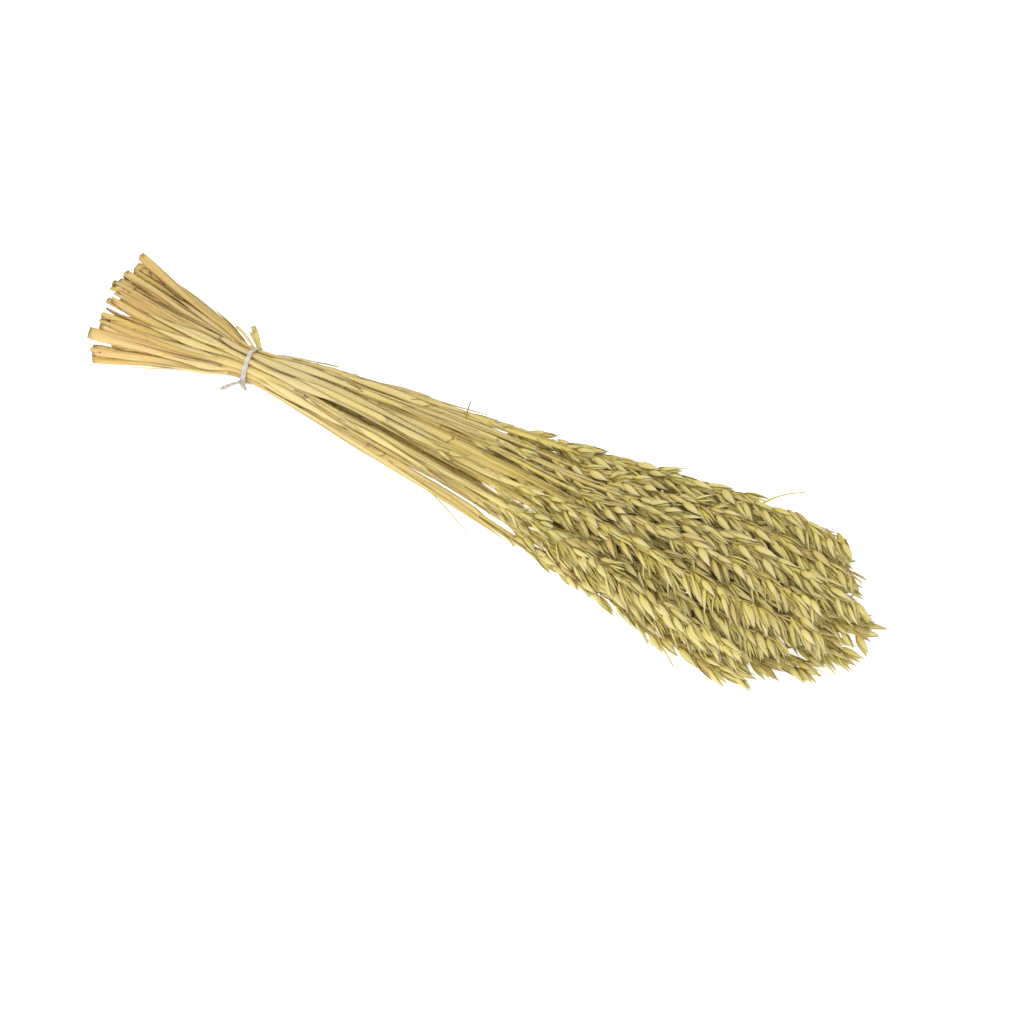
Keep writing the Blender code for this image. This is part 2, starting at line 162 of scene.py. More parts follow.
# The two husks and the two florets of a spikelet: the shares of its length, width and depth, the
# shares of its opening, the turn about it, the rise above its root and the kind.
HUSKS = (
    (1.0, 1.0, 1.0, 1.0, 0.0, 0.0, HUSK),
    (0.95, 0.94, 1.0, 1.1, math.pi, 0.0, HUSK),
)
FLORETS = (
    (0.86, 0.62, 1.5, 0.25, 0.3, 0.001, 0.6),
    (0.74, 0.46, 1.1, 0.5, math.pi + 0.5, 0.002, 1.0),
)

# The shapes of a spikelet: how far it opens, its length and plumpness, and how far its husks bend.
SPIKELET_SHAPES = (
    (0.14, 1.0, 1.0, 0.10),
    (0.24, 1.04, 0.94, 0.12),
    (0.10, 0.95, 1.04, 0.06),
    (0.32, 1.0, 0.86, 0.16),
    (0.05, 1.06, 0.76, 0.15),
    (0.42, 0.97, 0.74, 0.08),
)
SLIM = 4  # the shape of the spikelets before a head

# A head: how many spikelets it has, how many are on the stem before it, and how many fill the space
# to its neighbours. Of three spikelets one is close to the stem and two are further out.
SPIKELETS, EARLY, BETWEEN, FIBRES = 70, 9, 9, 14
OUT_SHARES = ((0.05, 0.25), (0.22, 0.62))  # a close and an outer root, as shares of the head's radius
TIP_SHARES = ((0.4, 0.85), (0.8, 1.4))  # their tips
LEANS = (0.02, 0.6)  # sines of the least and the most lean
EARLY_SPAN, EARLY_SPAN_PARTED = 0.085, 0.025  # the latter keeps the bundle's parting clear
STALK_RADIUS = 0.00035
FIBRE_RADII = (0.0004, 0.0004, 0.0003, 0.00025, 0.0001)

# A straw: where its joints are, how round it and its sheaths are, and how it is hollow at its cut end.
JOINTS = ((-0.30, -0.22), (-0.165, -0.145), (-0.11, -0.04))
STEP = 0.006  # between two rings of a straw
BESIDE_AT = (BUTT_END + 0.05, TIE_X + 0.12)  # where a straw's neighbours are looked for
STRAW_SIDES, SHEATH_COLUMNS = 14, 12
ROUND_MARKS = (-0.16, -0.03, 0.03, 0.08, 0.15)  # from the tie
STRAW_ROUND = (0.46, 0.78, 0.78, 0.58, 0.88)
SHEATH_ROUND = (0.50, 0.82, 0.82, 0.64, 0.91)
HOLLOW = ((0.7, 0.0), (0.62, 0.0006), (0.5, 0.006))  # the inner rings' size as a share, and depth
# A wear value above the worn range, which paints shade inside a straw's hollow cut end.
HOLLOW_SHADE = 2.0
SHEATH_ARCS = (3.9, 5.7)  # how far round its straw a sheath reaches, in radians
JOINT_ARC = 6.2  # at the joint that it grows from

# Loose parts of a straw. Straws that part further than WIDEST_FILLED have no broken sheath between
# them, and a straw has flaps if it is further out than OUTER and all its strips if further than INNER.
WIDEST_FILLED = 0.0085
FLAPS, OUTER = 3, 0.6
STRIPS, INNER = 8, 0.45
BLADE_THICKNESS = 0.0003
FINEST_BLADE = 0.001  # half the width under which a bit is a whisker

# Bits that stand off the bundle: the stalk, the bit's root along X and round the straw, how far it
# reaches, half its width, its kind (1 for dry leaf and 2 for green leaf), its tone and its wear. The
# thin whiskers' low tones, and the wear of 1.4 on three of them, are painted shade.
BITS = (
    (25, -0.2020, 1.1, (-0.0124, 0.0099, 0.0127), 0.0022, 1.6, 0.0, 0.0),
    (17, -0.2035, 1.1, (-0.0125, 0.0075, 0.0095), 0.0022, 1.0, -1.0, 0.0),
    (22, -0.2060, 1.3, (-0.0155, 0.0110, 0.0080), 0.0009, 2.0, -1.5, 0.0),
    (25, -0.2080, 1.3, (-0.0190, 0.0050, 0.0110), 0.0014, 1.0, 0.3, 0.0),
    (25, -0.0174, 1.3, (-0.0015, 0.0124, 0.0101), 0.0008, 2.0, -2.2, 1.4),
    (12, -0.0760, 1.3, (0.0290, 0.0110, 0.0010), 0.0007, 2.0, -2.2, 1.4),
    (12, -0.0560, 1.3, (0.0120, 0.0075, 0.0030), 0.0007, 2.0, -2.2, 1.4),
    (17, 0.2300, 1.0, (0.0266, 0.0220, 0.0060), 0.0009, 2.0, -1.5, 0.0),
    (26, -0.0424, 4.0, (0.0640, -0.0230, -0.0120), 0.0007, 2.0, -1.5, 0.0),
    (26, 0.1830, 4.3, (0.0360, -0.0210, -0.0105), 0.00095, 1.8, -1.6, 0.0),
)
BIT_HUE = 0.8

# Broad dry leaves that lie on a straw: the stalk, the start along X, the length, the turn round the
# straw and half the width.
BROAD_LEAVES = (
    (25, -0.132, 0.102, 2.0, 0.0042),
    (17, -0.100, 0.080, 1.7, 0.0034),
)
BROAD_SHADE = (0.8, 0.9, 0.0)

# The tie: three windings along X, a knot of two loops with (half length, half height, tilt), and
# two tails with (run along the bundle, fall, rise outwards).
WINDINGS, WINDING_STEPS = (-0.0014, 0.0, 0.0014), 90
STRING_RADIUS, TAIL_RADIUS, TAIL_FIBRES = 0.0009, 0.0014, 3
WINDING_MARGIN, KNOT_MARGIN, KNOT_STEPS = 0.0008, 0.0022, 240
KNOT_LOOPS = ((0.0026, 0.0018, 0.3), (0.0018, 0.0024, -0.5))
TAILS = ((-0.0185, -0.0105, 0.0042), (0.004, -0.003, 0.0015))

# Colours, from the root of a husk, whose dark brown is painted shade where other husks cover it,
# to its tip, and the pale, golden and green one of a straw.
HUSK_COLOURS = (
    (0.0, (0.56, 0.38, 0.03)),
    (0.25, (0.81, 0.66, 0.16)),
    (0.6, (0.83, 0.73, 0.32)),
    (1.0, (0.83, 0.75, 0.50)),
)
STRAW_COLOURS = ((0.82, 0.72, 0.43), (0.84, 0.61, 0.13), (0.82, 0.68, 0.18))
BLADE_COLOURS = ((0.80, 0.68, 0.36), (0.70, 0.52, 0.20), (0.66, 0.60, 0.24))

CAMERA_AZIMUTH, CAMERA_ELEVATION, CAMERA_DISTANCE = 28.3, 49.0, 2.2
CAMERA_LENS = 100.2
CAMERA_AIM = (0.0380, -0.0312)  # sideways and upwards in the view, from the point over the origin
AIM_HEIGHT = 0.03
KEY_PLACE, KEY_AIM, KEY_SIZE, KEY_POWER = (0.2, -1.6, 2.6), (0.05, 0, 0), 2.0, 46.0
SKY_STRENGTH = 0.68
FLOOR_SIZE, FLOOR_Z, FLOOR_COLOUR, FLOOR_GLOW = 6.0, -0.0005, (0.9, 0.9, 0.9, 1), 0.7


@dataclass
class Strand:
    """A stalk or a dry leaf: where it starts, where its head begins, where it ends, its radius and
    its spot in the bundle. A leaf has no head, so its head begins at its end."""

    start: float
    head: float
    end: float
    girth: float
    reach: float
    turn: float
    leaf: bool = False


def make_strands(draw):
    """The stalks, whose cut ends and tips are uneven, and then the leaves."""
    strands = []
    for number in range(STALKS):
        reach, turn = math.sqrt((number + 0.5) / STALKS), number * GOLDEN
        aside = reach * math.cos(turn + HEAD_TWIST)
        end = TIP_END - UNEVEN_TIPS * draw.random()
        end -= abs(aside) ** SIDE_POWER * (BACK_SHORT if aside > 0 else FRONT_SHORT)
        head = end - HEAD_LENGTH * draw.uniform(*HEAD_VARIES) - FAR_LONGER * max(aside, 0)
        slant = (1 - reach * math.cos(turn + BUTT_TWIST)) / 2
        start = BUTT_END + UNEVEN_BUTTS * draw.random() + BUTTS_SLANT * slant
        girth = STRAW_RADIUS * draw.uniform(*GIRTH_VARIES)
        strands.append(Strand(start, head, end, girth, reach, turn))
    strands[LONGEST].end = TIP_END
    shortfall = min(strand.start for strand in strands) - BUTT_END - CUT_ROOM
    for strand in strands:
        strand.start -= shortfall
    for start, end, width, turn, reach in LEAVES:
        strands.append(Strand(TIE_X + start, TIE_X + end, TIE_X + end, width / 2, reach, turn, True))
    return strands


def straw_radius(strand, x):
    """Half the thickness of a stalk's straw at x."""
    marks = (strand.start, TIE_X, *(TIE_X + mark for mark in STRAW_MARKS), strand.head, strand.end)
    return strand.girth * np.interp(x, marks, STRAW_SHARES)


def leaf_radius(strand, x):
    """Half the width of a leaf at x."""
    share = (x - strand.start) / (strand.end - strand.start)
    near_tie, tied = LEAF_TIED
    folded = np.interp(abs(x - TIE_X), near_tie, (STRAW_RADIUS / strand.girth * tied, 1))
    return strand.girth * np.minimum(np.interp(share, LEAF_SHARES, LEAF_WIDTHS), folded)


def head_radius(strand, x):
    """The radius of the space that a stalk's head fills at x."""
    share = (x - strand.head) / (strand.end - strand.head)
    return np.interp(share, HEAD_SHARES, HEAD_RADII)


def slice_radii(strands, xs):
    """The radius that each strand needs in each slice, and 0 where it isn't."""
    radii = np.zeros((len(strands), len(xs)))
    for row, strand in zip(radii, strands):
        if strand.leaf:
            row[:] = leaf_radius(strand, xs) + STRAW_GAP / 2
        else:
            straw = straw_radius(strand, xs) + STRAW_GAP / 2
            row[:] = np.where(xs < strand.head - SLICE, straw, head_radius(strand, xs) + HEAD_GAP / 2)
        row[(xs < strand.start - SLICE) | (xs > strand.end + SLICE)] = 0
    return radii


def aims(strands, xs, radii, draw):
    """Where each strand would run in a bundle of this outline, twisted about its middle."""
    reach = np.array([[strand.reach] for strand in strands])
    turn = np.array([[strand.turn] for strand in strands])
    from_tie, *columns = np.array(OUTLINE).T
    wide, high, sideways, above = (np.interp(xs - TIE_X, from_tie, column) for column in columns)
    twist = np.interp(xs, (BUTT_END, TIE_X, TIP_END), (BUTT_TWIST, 0, HEAD_TWIST))
    across = reach * np.cos(turn + twist)
    up = reach * np.sin(turn + twist)
    up = np.where(up < 0, -abs(up) ** SETTLED, up)
    stray = np.array([[draw.gauss(0, STRAY) for _ in range(6)] for _ in strands])
    marks = (BUTT_END, (BUTT_END + TIE_X) / 2, TIE_X, TIE_X + 0.2, TIP_END)
    y_stray = np.array([np.interp(xs, marks, (*row[:2], 0, *row[2:4])) for row in stray])
    z_stray = np.array([np.interp(xs, marks, (row[4], row[4], 0, row[5], row[5])) for row in stray])
    parted = np.interp(xs - TIE_X, *PARTING) * np.where(across < PARTED_FROM, -1, PARTED_BACK)
    y = sideways + across * (wide - radii) + y_stray + parted
    z = above + up * (high - radii) + z_stray
    return np.stack([y, z], axis=-1)


def push_apart(places, radii):
    """Moves overlapping discs of each slice apart, each by half of the overlap."""
    away = places[:, None] - places[None]
    distance = np.linalg.norm(away, axis=-1) + 1e-9
    there = (radii[:, None] > 0) & (radii[None] > 0)
    overlap = np.where(there, radii[:, None] + radii[None] - distance, 0).clip(0)
    overlap[np.arange(len(places)), np.arange(len(places))] = 0
    places += 0.5 * (away / distance[..., None] * overlap[..., None]).sum(axis=1)


def settle(strands, draw):
    """The bends' places along X, and the (y, z) of each strand at each of them."""
    bends = TIE_X + np.array(BENDS)
    slices = np.arange(BUTT_END, TIP_END + SLICE / 2, SLICE)
    share = np.array([np.interp(slices, bends, row) for row in np.eye(len(bends))])
    radii = slice_radii(strands, slices)
    low = radii - np.where(radii > 2 * STRAW_RADIUS, HEAD_PRESSED, STRAW_PRESSED)
    aim = aims(strands, bends, slice_radii(strands, bends), draw)
    places = aim.copy()
    before, after = bends[1:-1] - bends[:-2], bends[2:] - bends[1:-1]
    weight = (before / (before + after))[None, :, None]
    for round_ in range(ROUNDS + QUIET_ROUNDS):
        ease = max(0.0, 1 - round_ / ROUNDS)
        places += PULL * ease * (aim - places)
        straight = places[:, :-2] * (1 - weight) + places[:, 2:] * weight
        places[:, 1:-1] += STIFFNESS * ease * (straight - places[:, 1:-1])
        discs = np.einsum("nbk,bs->nsk", places, share)
        moved = discs.copy()
        push_apart(moved, radii)
        moved[..., 1] = np.maximum(moved[..., 1], low)
        moved -= discs
        pushed = (abs(moved).sum(axis=-1) > 0) @ share.T
        places += np.einsum("nsk,bs->nbk", moved, share) / np.maximum(pushed, 1e-9)[..., None]
    return bends, places


class Route:
    """The smooth line that one strand follows through the bundle."""

    def __init__(self, xs, places):
        self.xs, self.places = xs, places
        step = np.diff(xs)[:, None]
        rate = np.diff(places, axis=0) / step
        inner = (rate[:-1] * step[1:] + rate[1:] * step[:-1]) / (step[:-1] + step[1:])
        self.rates = np.vstack([rate[:1], inner, rate[-1:]])

    def at(self, x):
        """The points of the line at all x."""
        x = np.atleast_1d(x).astype(float)
        k = np.clip(np.searchsorted(self.xs, x) - 1, 0, len(self.xs) - 2)
        step = (self.xs[k + 1] - self.xs[k])[:, None]
        t = (x[:, None] - self.xs[k][:, None]) / step
        start, end = self.places[k], self.places[k + 1]
        leave, arrive = self.rates[k] * step, self.rates[k + 1] * step
        bow = (t - 2 * t**2 + t**3) * leave + (t**3 - t**2) * arrive
        place = start + (3 * t**2 - 2 * t**3) * (end - start) + bow
        return np.column_stack([x, place])

    def along(self, x):
        """The directions of the line at all x."""
        ahead = self.at(np.atleast_1d(x) + 0.001) - self.at(np.atleast_1d(x) - 0.001)
        return unit(ahead)


def unit(vectors):
    """The vectors with a length of 1."""
    return vectors / np.linalg.norm(vectors, axis=-1, keepdims=True)


def outward(turn):
    """The unit vectors across the bundle at these turns about X."""
    return np.stack([0 * turn, np.cos(turn), np.sin(turn)], axis=-1)


def turn_from(middle, route, x):
    """The turn about X from the bundle's middle line towards a route at x."""
    _, y, z = (route.at(x) - middle.at(x))[0]
    return math.atan2(z, y)


@dataclass
class Form:
    """A closed surface, or several, with a mark at each point and a place on the map at each corner."""

    points: np.ndarray
    marks: np.ndarray
    faces: np.ndarray
    uvs: np.ndarray


def cells(left, bottom, wide, high, columns=1):
    """Cells of a map one after the other, side by side and in rows, as (u, v, width, height)."""
    for n in itertools.count():
        yield left + wide * (n % columns), bottom + high * (n // columns), 0.94 * wide, 0.94 * high


def mapped(form, cell):
    """The form with its part of the map in a cell."""
    u, v, wide, high = cell
    return Form(form.points, form.marks, form.faces, form.uvs * (wide, high) + (u, v))


def grid_faces(index):
    """The quads of a grid of point numbers."""
    corners = (index[:-1, :-1], index[:-1, 1:], index[1:, 1:], index[1:, :-1])
    return np.stack(corners, axis=-1).reshape(-1, 4)


def grid_uvs(rows, columns, first=0.0, last=1.0):
    """The corners' places on the map for such quads, which reach from first to last across it."""
    u, v = np.meshgrid(np.linspace(first, last, columns), np.linspace(0, 1, rows))
    index = np.arange(rows * columns).reshape(rows, columns)
    return np.column_stack([u.ravel(), v.ravel()])[grid_faces(index).ravel()]


def grid_marks(along, across, kind):
    """The marks of a grid of points."""
    marks = np.empty((len(along), len(across), 3))
    marks[..., 0] = np.asarray(along)[:, None]
    marks[..., 1] = across
    marks[..., 2] = kind
    return marks


def reversed_quads(uvs):
    """The corners' places for quads whose corners are taken in the other order."""
    return uvs.reshape(-1, 4, 2)[:, ::-1].reshape(-1, 2)


def outwards(form):
    """The same form with its faces turned so that they face outwards."""
    a, b, c, d = (form.points[form.faces[:, k]] for k in range(4))
    volume = (a * np.cross(b, c)).sum() + (a * np.cross(c, d)).sum()
    if volume < 0:
        return Form(form.points, form.marks, form.faces[:, ::-1], reversed_quads(form.uvs))
    return form


def shell(outer, inner, kind, along):
    """A thin closed shell between two grids of points that share their borders."""
    rows, columns = outer.shape[:2]
    index = np.arange(rows * columns).reshape(rows, columns)
    back = index.copy()
    inside = np.arange((rows - 2) * (columns - 2)).reshape(rows - 2, columns - 2)
    back[1:-1, 1:-1] = rows * columns + inside
    marks = grid_marks(along, np.linspace(-1, 1, columns), kind)
    grids = ((outer, inner), (marks, marks))
    points, marks = (np.vstack([a.reshape(-1, 3), b[1:-1, 1:-1].reshape(-1, 3)]) for a, b in grids)
    faces = np.vstack([grid_faces(index), grid_faces(back)[:, ::-1]])
    front_uvs = grid_uvs(rows, columns, 0.0, 0.5)
    back_uvs = reversed_quads(grid_uvs(rows, columns, 0.5, 1.0))
    return outwards(Form(points, marks, faces, np.vstack([front_uvs, back_uvs])))


def pipe(rings, kind, along):
    """A closed tube through rings of points, whose first and last ring are drawn to a point."""
    rows, sides = rings.shape[:2]
    index = np.arange(rows * sides).reshape(rows, sides)
    index = np.column_stack([index, index[:, 0]])
    points = np.vstack([rings.reshape(-1, 3), rings[0].mean(axis=0), rings[-1].mean(axis=0)])
    marks = grid_marks(along, np.linspace(-1, 1, sides, endpoint=False), kind)
    marks = np.vstack([marks.reshape(-1, 3), marks[0, :1], marks[-1, :1]])
    half = np.arange(0, sides, 2)
    first = np.full(len(half), rows * sides)
    start = np.column_stack([index[0, half + 2], index[0, half + 1], index[0, half], first])
    end = np.column_stack([index[-1, half], index[-1, half + 1], index[-1, half + 2], first + 1])
    cap = np.array(((0, 0), (1, 0), (1, 0), (0, 0)))
    uvs = np.vstack([grid_uvs(rows, sides + 1), np.tile(cap, (2 * len(half), 1))])
    return outwards(Form(points, marks, np.vstack([grid_faces(index), start, end]), uvs))


def swept(centres, directions, facing, x, y):
    """Rows of points at x across and y above each point of a line, as seen with facing upwards."""
    across = unit(np.cross(directions, facing))
    up = np.cross(across, directions)
    return centres[:, None] + x[..., None] * across[:, None] + y[..., None] * up[:, None]


def tube_rings(centres, directions, widths, heights, facing, sides, ridges=1.0):
    """Rings of points round a line, as wide across facing as widths and as thick as heights."""
    turn = np.linspace(0, math.tau, sides, endpoint=False)
    x = widths[:, None] * np.cos(turn) * ridges
    y = heights[:, None] * np.sin(turn) * ridges
    return swept(centres, directions, facing, x, y)


def string(points, radius, sides=8, kind=0.0):
    """A thin string along points, drawn together at its ends."""
    points = np.asarray(points, dtype=float)
    directions = unit(np.gradient(points, axis=0))
    steps = np.linalg.norm(np.diff(points, axis=0), axis=1)
    radii = np.broadcast_to(radius, (len(points),))
    rings = tube_rings(points, directions, radii, radii, ASKEW, sides)
    return pipe(rings, kind, np.concatenate([[0], np.cumsum(steps)]))


def ribbon(points, widths, normals, kind, fold, columns=5):
    """A thin blade along points, folded a little along its middle."""
    place = np.linspace(-1, 1, columns)[None]
    x, y = widths[:, None] * place, widths[:, None] * fold * (place**2 - 0.5)
    directions = unit(np.gradient(points, axis=0))
    outer, inner = (swept(points, directions, normals, x, y - down) for down in (0, BLADE_THICKNESS))
    return shell(outer, inner, kind, points[:, 0] - BUTT_END)


def joined(forms):
    """All forms as one."""
    starts = np.cumsum([0] + [len(form.points) for form in forms[:-1]])
    return Form(
        np.vstack([form.points for form in forms]),
        np.vstack([form.marks for form in forms]),
        np.vstack([form.faces + start for form, start in zip(forms, starts)]),
        np.vstack([form.uvs for form in forms]),
    )


class Piece:
    """Collects forms for one object, each with its shade."""

    def __init__(self):
        self.forms, self.shades = [], []

    def add(self, form, shade, cell=(0, 0, 1, 1), place=None):
        """Adds a form, with its map in a cell, and stood up by place = (turn matrix, position)."""
        form = mapped(form, cell)
        if place is not None:
            form.points = form.points @ place[0].T + place[1]
        self.forms.append(form)
        self.shades.append(np.broadcast_to(np.asarray(shade, dtype=float), (len(form.points), 3)))

    def build(self, name, node, slot, material, room):
        """Makes the object, inside the room that the solid model takes."""
        whole = joined(self.forms)
        mesh = bpy.data.meshes.new(name)
        mesh.from_pydata(kept_inside(whole.points, room), [], whole.faces)
        mesh.uv_layers.new(name="OFBake").data.foreach_set("uv", whole.uvs.astype(np.float32).ravel())
        for title, values in (("mark", whole.marks), ("shade", np.vstack(self.shades))):
            attribute = mesh.attributes.new(title, "FLOAT_VECTOR", "POINT")
            attribute.data.foreach_set("vector", values.astype(np.float32).ravel())
        mesh.shade_smooth()
        mesh.materials.append(material)
        mesh.validate()
        piece = bpy.data.objects.new(name, mesh)
        bpy.context.scene.collection.objects.link(piece)
        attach(piece, "root")
        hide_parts(node)


def kept_inside(points, room, margin=0.002):
    """Presses points that would leave the room back inside it, the harder the further out they are."""
    low, high = room
    under = low + margin - points
    points = np.where(under > 0, low + margin * np.exp(-under.clip(0) / margin), points)
    over = points - (high - margin)
    return np.where(over > 0, high - margin * np.exp(-over.clip(0) / margin), points)


def nearest(routes, route, x):
    """The two routes that run closest to this one at x."""
    spots = np.array([other.at(x)[0] for other in routes])
    order = np.linalg.norm(spots - route.at(x)[0], axis=1).argsort()
    return [routes[k] for k in order[1:3]]


def husk(length, width, depth, bend, kind):
    """One husk, a thin boat-shaped shell that stands on the origin along Z and bulges towards +Y."""
    shares, widths = np.array(HUSK_SHARES)[:, None], np.array(HUSK_WIDTHS)[:, None]
    across = np.linspace(-1, 1, HUSK_COLUMNS)[None]
    angle = across * BOAT_ANGLE
    x = width / 2 * widths * np.sin(angle) / math.sin(BOAT_ANGLE)
    bulge = (np.cos(angle) - math.cos(BOAT_ANGLE)) / (1 - math.cos(BOAT_ANGLE))
    y = depth * widths**0.8 * bulge + KEEL * widths * (across == 0) - bend * length * shares**2
    outer = np.stack([x, y, length * shares + 0 * x], axis=-1)
    return shell(outer, outer - (0, HUSK_THICKNESS, 0), kind, HUSK_SHARES)


def floret(length, width, depth, kind):
    """A slim closed spindle that stands on the origin along Z."""
    shares, widths = np.array(FLORET_SHARES)[:, None], np.array(FLORET_WIDTHS)[:, None]
    turn = np.linspace(0, math.tau, FLORET_SIDES, endpoint=False)
    x = width / 2 * widths * np.cos(turn)
    y = depth / 2 * widths * np.sin(turn)
    return pipe(np.stack([x, y, length * shares + 0 * x], axis=-1), kind, FLORET_SHARES)


def tilted(form, angle, turn, rise):
    """The form leaned by angle towards +Y about its root, then turned about Z and raised."""
    cos, sin = math.cos(angle), math.sin(angle)
    lean = np.array([[1, 0, 0], [0, cos, sin], [0, -sin, cos]])
    cos, sin = math.cos(turn), math.sin(turn)
    spin = np.array([[cos, -sin, 0], [sin, cos, 0], [0, 0, 1]])
    return Form(form.points @ (spin @ lean).T + (0, 0, rise), form.marks, form.faces, form.uvs)


def spikelet(opening, length, plump, bend, florets):
    """Two husks that open by an angle, round one or two florets."""
    length, width, depth = SPIKELET_LENGTH * length, HUSK_WIDTH * plump, HUSK_DEPTH * plump
    parts = []
    for k, (long, wide, deep, open_, turn, rise, kind) in enumerate(HUSKS + FLORETS[:florets]):
        sizes = (length * long, width * wide, depth * deep)
        form = husk(*sizes, bend, kind) if k < len(HUSKS) else floret(*sizes, kind)
        parts.append(tilted(form, opening * open_, turn, rise))
    husk_cells, floret_cells = cells(0.01, 0.01, 0.37, 1.04, 2), cells(0.75, 0.01, 0.125, 1.04, 2)
    places = [next(husk_cells) for _ in HUSKS] + [next(floret_cells) for _ in FLORETS[:florets]]
    return joined([mapped(form, cell) for form, cell in zip(parts, places)])


def stand(direction, side, roll):
    """The turn matrix that points Z along direction, with +Y towards side and then rolled about Z."""
    x = unit(np.cross(side, direction))
    y = np.cross(direction, x)
    x, y = x * math.cos(roll) + y * math.sin(roll), y * math.cos(roll) - x * math.sin(roll)
    return np.column_stack([x, y, direction])


class Head:
    """A head in the making: its stem, its spikelets, and loose ones and fibres between them."""

    def __init__(self, strand, route, beside, room, draw, spikelets):
        self.strand, self.route, self.room, self.draw = strand, route, room, draw
        self.spikelets = spikelets
        self.first, self.last = strand.head - 0.006, strand.end - 0.72 * SPIKELET_LENGTH
        self.string_cells = cells(0.01, 0.922, 0.0148, 0.0148, 66)
        self.piece = Piece()
        self.piece.add(self.stem(), (draw.random(), 0.5, 0.3), (0.01, 0.94, 0.98, 0.05))
        height = route.at((strand.head + strand.end) / 2)[0, 2]
        droop = draw.uniform(0.12, 0.60) * np.interp(height, (0.015, 0.06), (0, 1))
        sweep = draw.gauss(0, 0.07) - 0.8 * droop, draw.gauss(0, 0.04) - 0.9 * droop
        self.sweep = np.array((0.0, *sweep))  # where the spikelets lean, besides outwards
        self.start = draw.uniform(0, math.tau)
        self.tone, self.hue = draw.gauss(0, 0.35), draw.random()
        for k, cell in zip(range(-EARLY, SPIKELETS), cells(0.02, 0.01, 0.12, 0.08, 8)):
            self.add_spikelet(k, cell)
        for k, cell in zip(range(BETWEEN), cells(0.02, 0.82, 0.12, 0.05, 8)):
            self.add_between(beside[k % 2], cell)
        for _ in range(FIBRES):
            self.add_fibre()

    def stem(self):
        """The stem that carries the spikelets."""
        xs = np.linspace(self.first, self.strand.end - 0.55 * SPIKELET_LENGTH, 36)
        radii = np.maximum(straw_radius(self.strand, xs) * 0.8, 0.0004)
        rings = tube_rings(self.route.at(xs), self.route.along(xs), radii, radii, (0, 0, 1), 6)
        return pipe(rings, STEM, xs - self.strand.head)

    def root_x(self, k, share):
        """Where spikelet k stands along X. Those with k under 0 are on the stem before the head."""
        x = self.first + (self.last - self.first) * min(max(share**0.9 + self.draw.gauss(0, 0.006), 0), 1)
        if k >= 0:
            return x
        parted = self.strand.reach * math.cos(self.strand.turn) < PARTED_FROM
        span = EARLY_SPAN_PARTED if parted else EARLY_SPAN
        return self.first - 0.003 - span * self.draw.random() ** 1.4

    def add_spikelet(self, k, cell):
        """Adds spikelet k, either close to the stem or further out on a stalk of its own."""
        draw, route, outer = self.draw, self.route, k % 3 > 0
        share = max(k, 0) / (SPIKELETS - 1)
        x = self.root_x(k, share)
        along = route.along(x)[0]
        side = outward(self.start + k * GOLDEN + draw.gauss(0, 0.35))
        side = unit(side - side.dot(along) * along)
        size = draw.uniform(0.84, 1.10) * np.interp(share, (0, 0.1, 0.9, 1), (0.82, 1, 1, 0.86))
        radius = float(head_radius(self.strand, min(x + 0.7 * SPIKELET_LENGTH, self.strand.end)))
        out = radius * draw.uniform(*OUT_SHARES[outer])
        tip = radius * draw.uniform(*TIP_SHARES[outer])
        lean = math.asin(min(max((tip - out) / (SPIKELET_LENGTH * size), LEANS[0]), LEANS[1]))
        direction = along * math.cos(lean) + side * math.sin(lean)
        direction = direction + np.cross(along, side) * draw.gauss(0, 0.17)
        direction = unit(direction + self.sweep * (0.25 + 1.9 * share**2))
        root = route.at(x)[0] + side * out
        tip_spot = root + direction * SPIKELET_LENGTH * size
        margin = draw.uniform(0.0012, 0.0080)
        direction = unit(np.clip(tip_spot, self.room[0] + margin, self.room[1] - margin) - root)
        turn = stand(direction, side, draw.gauss(0, 0.6)) * size
        shape = draw.randrange(len(SPIKELET_SHAPES)) if k >= 0 else SLIM
        form = self.spikelets[outer and k >= 0][shape]
        # Spikelets close to the stem are darker, as painted shade inside the head.
        tone = self.tone + draw.gauss(0, 0.9) - (0.0 if outer else 0.5)
        shade = (tone, (self.hue + draw.random()) / 2, draw.random() ** 4)
        self.piece.add(form, shade, cell, (turn, root))
        if outer:
            before, bow = route.at(x - 2.5 * out)[0], route.at(x - out)[0] + side * out * 0.55
            self.add_string((before, bow, root + direction * 0.001), STALK_RADIUS)

    def add_between(self, other, cell):
        """Adds a spikelet between this head and another one."""
        draw, share = self.draw, self.draw.uniform(0.35, 0.6)
        x = draw.uniform(self.first, self.last)
        root = self.route.at(x)[0] * (1 - share) + other.at(x)[0] * share
        astray = np.array((0, draw.gauss(0, 0.2), draw.gauss(0, 0.15)))
        direction = unit(self.route.along(x)[0] + astray + 0.5 * self.sweep)
        turn = stand(direction, (0, draw.gauss(0, 1), 1.0), draw.gauss(0, 1)) * draw.uniform(0.8, 1.05)
        # Spikelets between heads are a little darker, as painted shade between them.
        shade = (self.tone + draw.gauss(-0.4, 0.9), draw.random(), draw.random() ** 4)
        self.piece.add(self.spikelets[0][draw.randrange(len(SPIKELET_SHAPES))], shade, cell, (turn, root))

    def add_fibre(self):
        """Adds a fine curved fibre that stands off the stem."""
        draw = self.draw
        x = draw.uniform(self.strand.head - 0.03, self.last)
        side = outward(draw.uniform(0, math.tau))
        heading = unit(self.route.along(x)[0] + side * draw.uniform(0.10, 0.42) + self.sweep * 0.5)
        steps = np.linspace(0, draw.uniform(0.016, 0.034), len(FIBRE_RADII))[:, None]
        bow = side * 4 * draw.uniform(-0.5, 1) * steps**2
        self.add_string(self.route.at(x)[0] + side * 0.002 + heading * steps + bow, FIBRE_RADII)

    def add_string(self, points, radius):
        """Adds a fine round stalk or fibre along points."""
        shade = (self.draw.gauss(0, 1), 0.5, 0.0)
        self.piece.add(string(points, radius, 4, STEM), shade, next(self.string_cells))


def swelling(xs, middle, spread):
    """A bell curve of height 1 about the middle."""
    return np.exp(-(((xs - middle) / spread) ** 2))


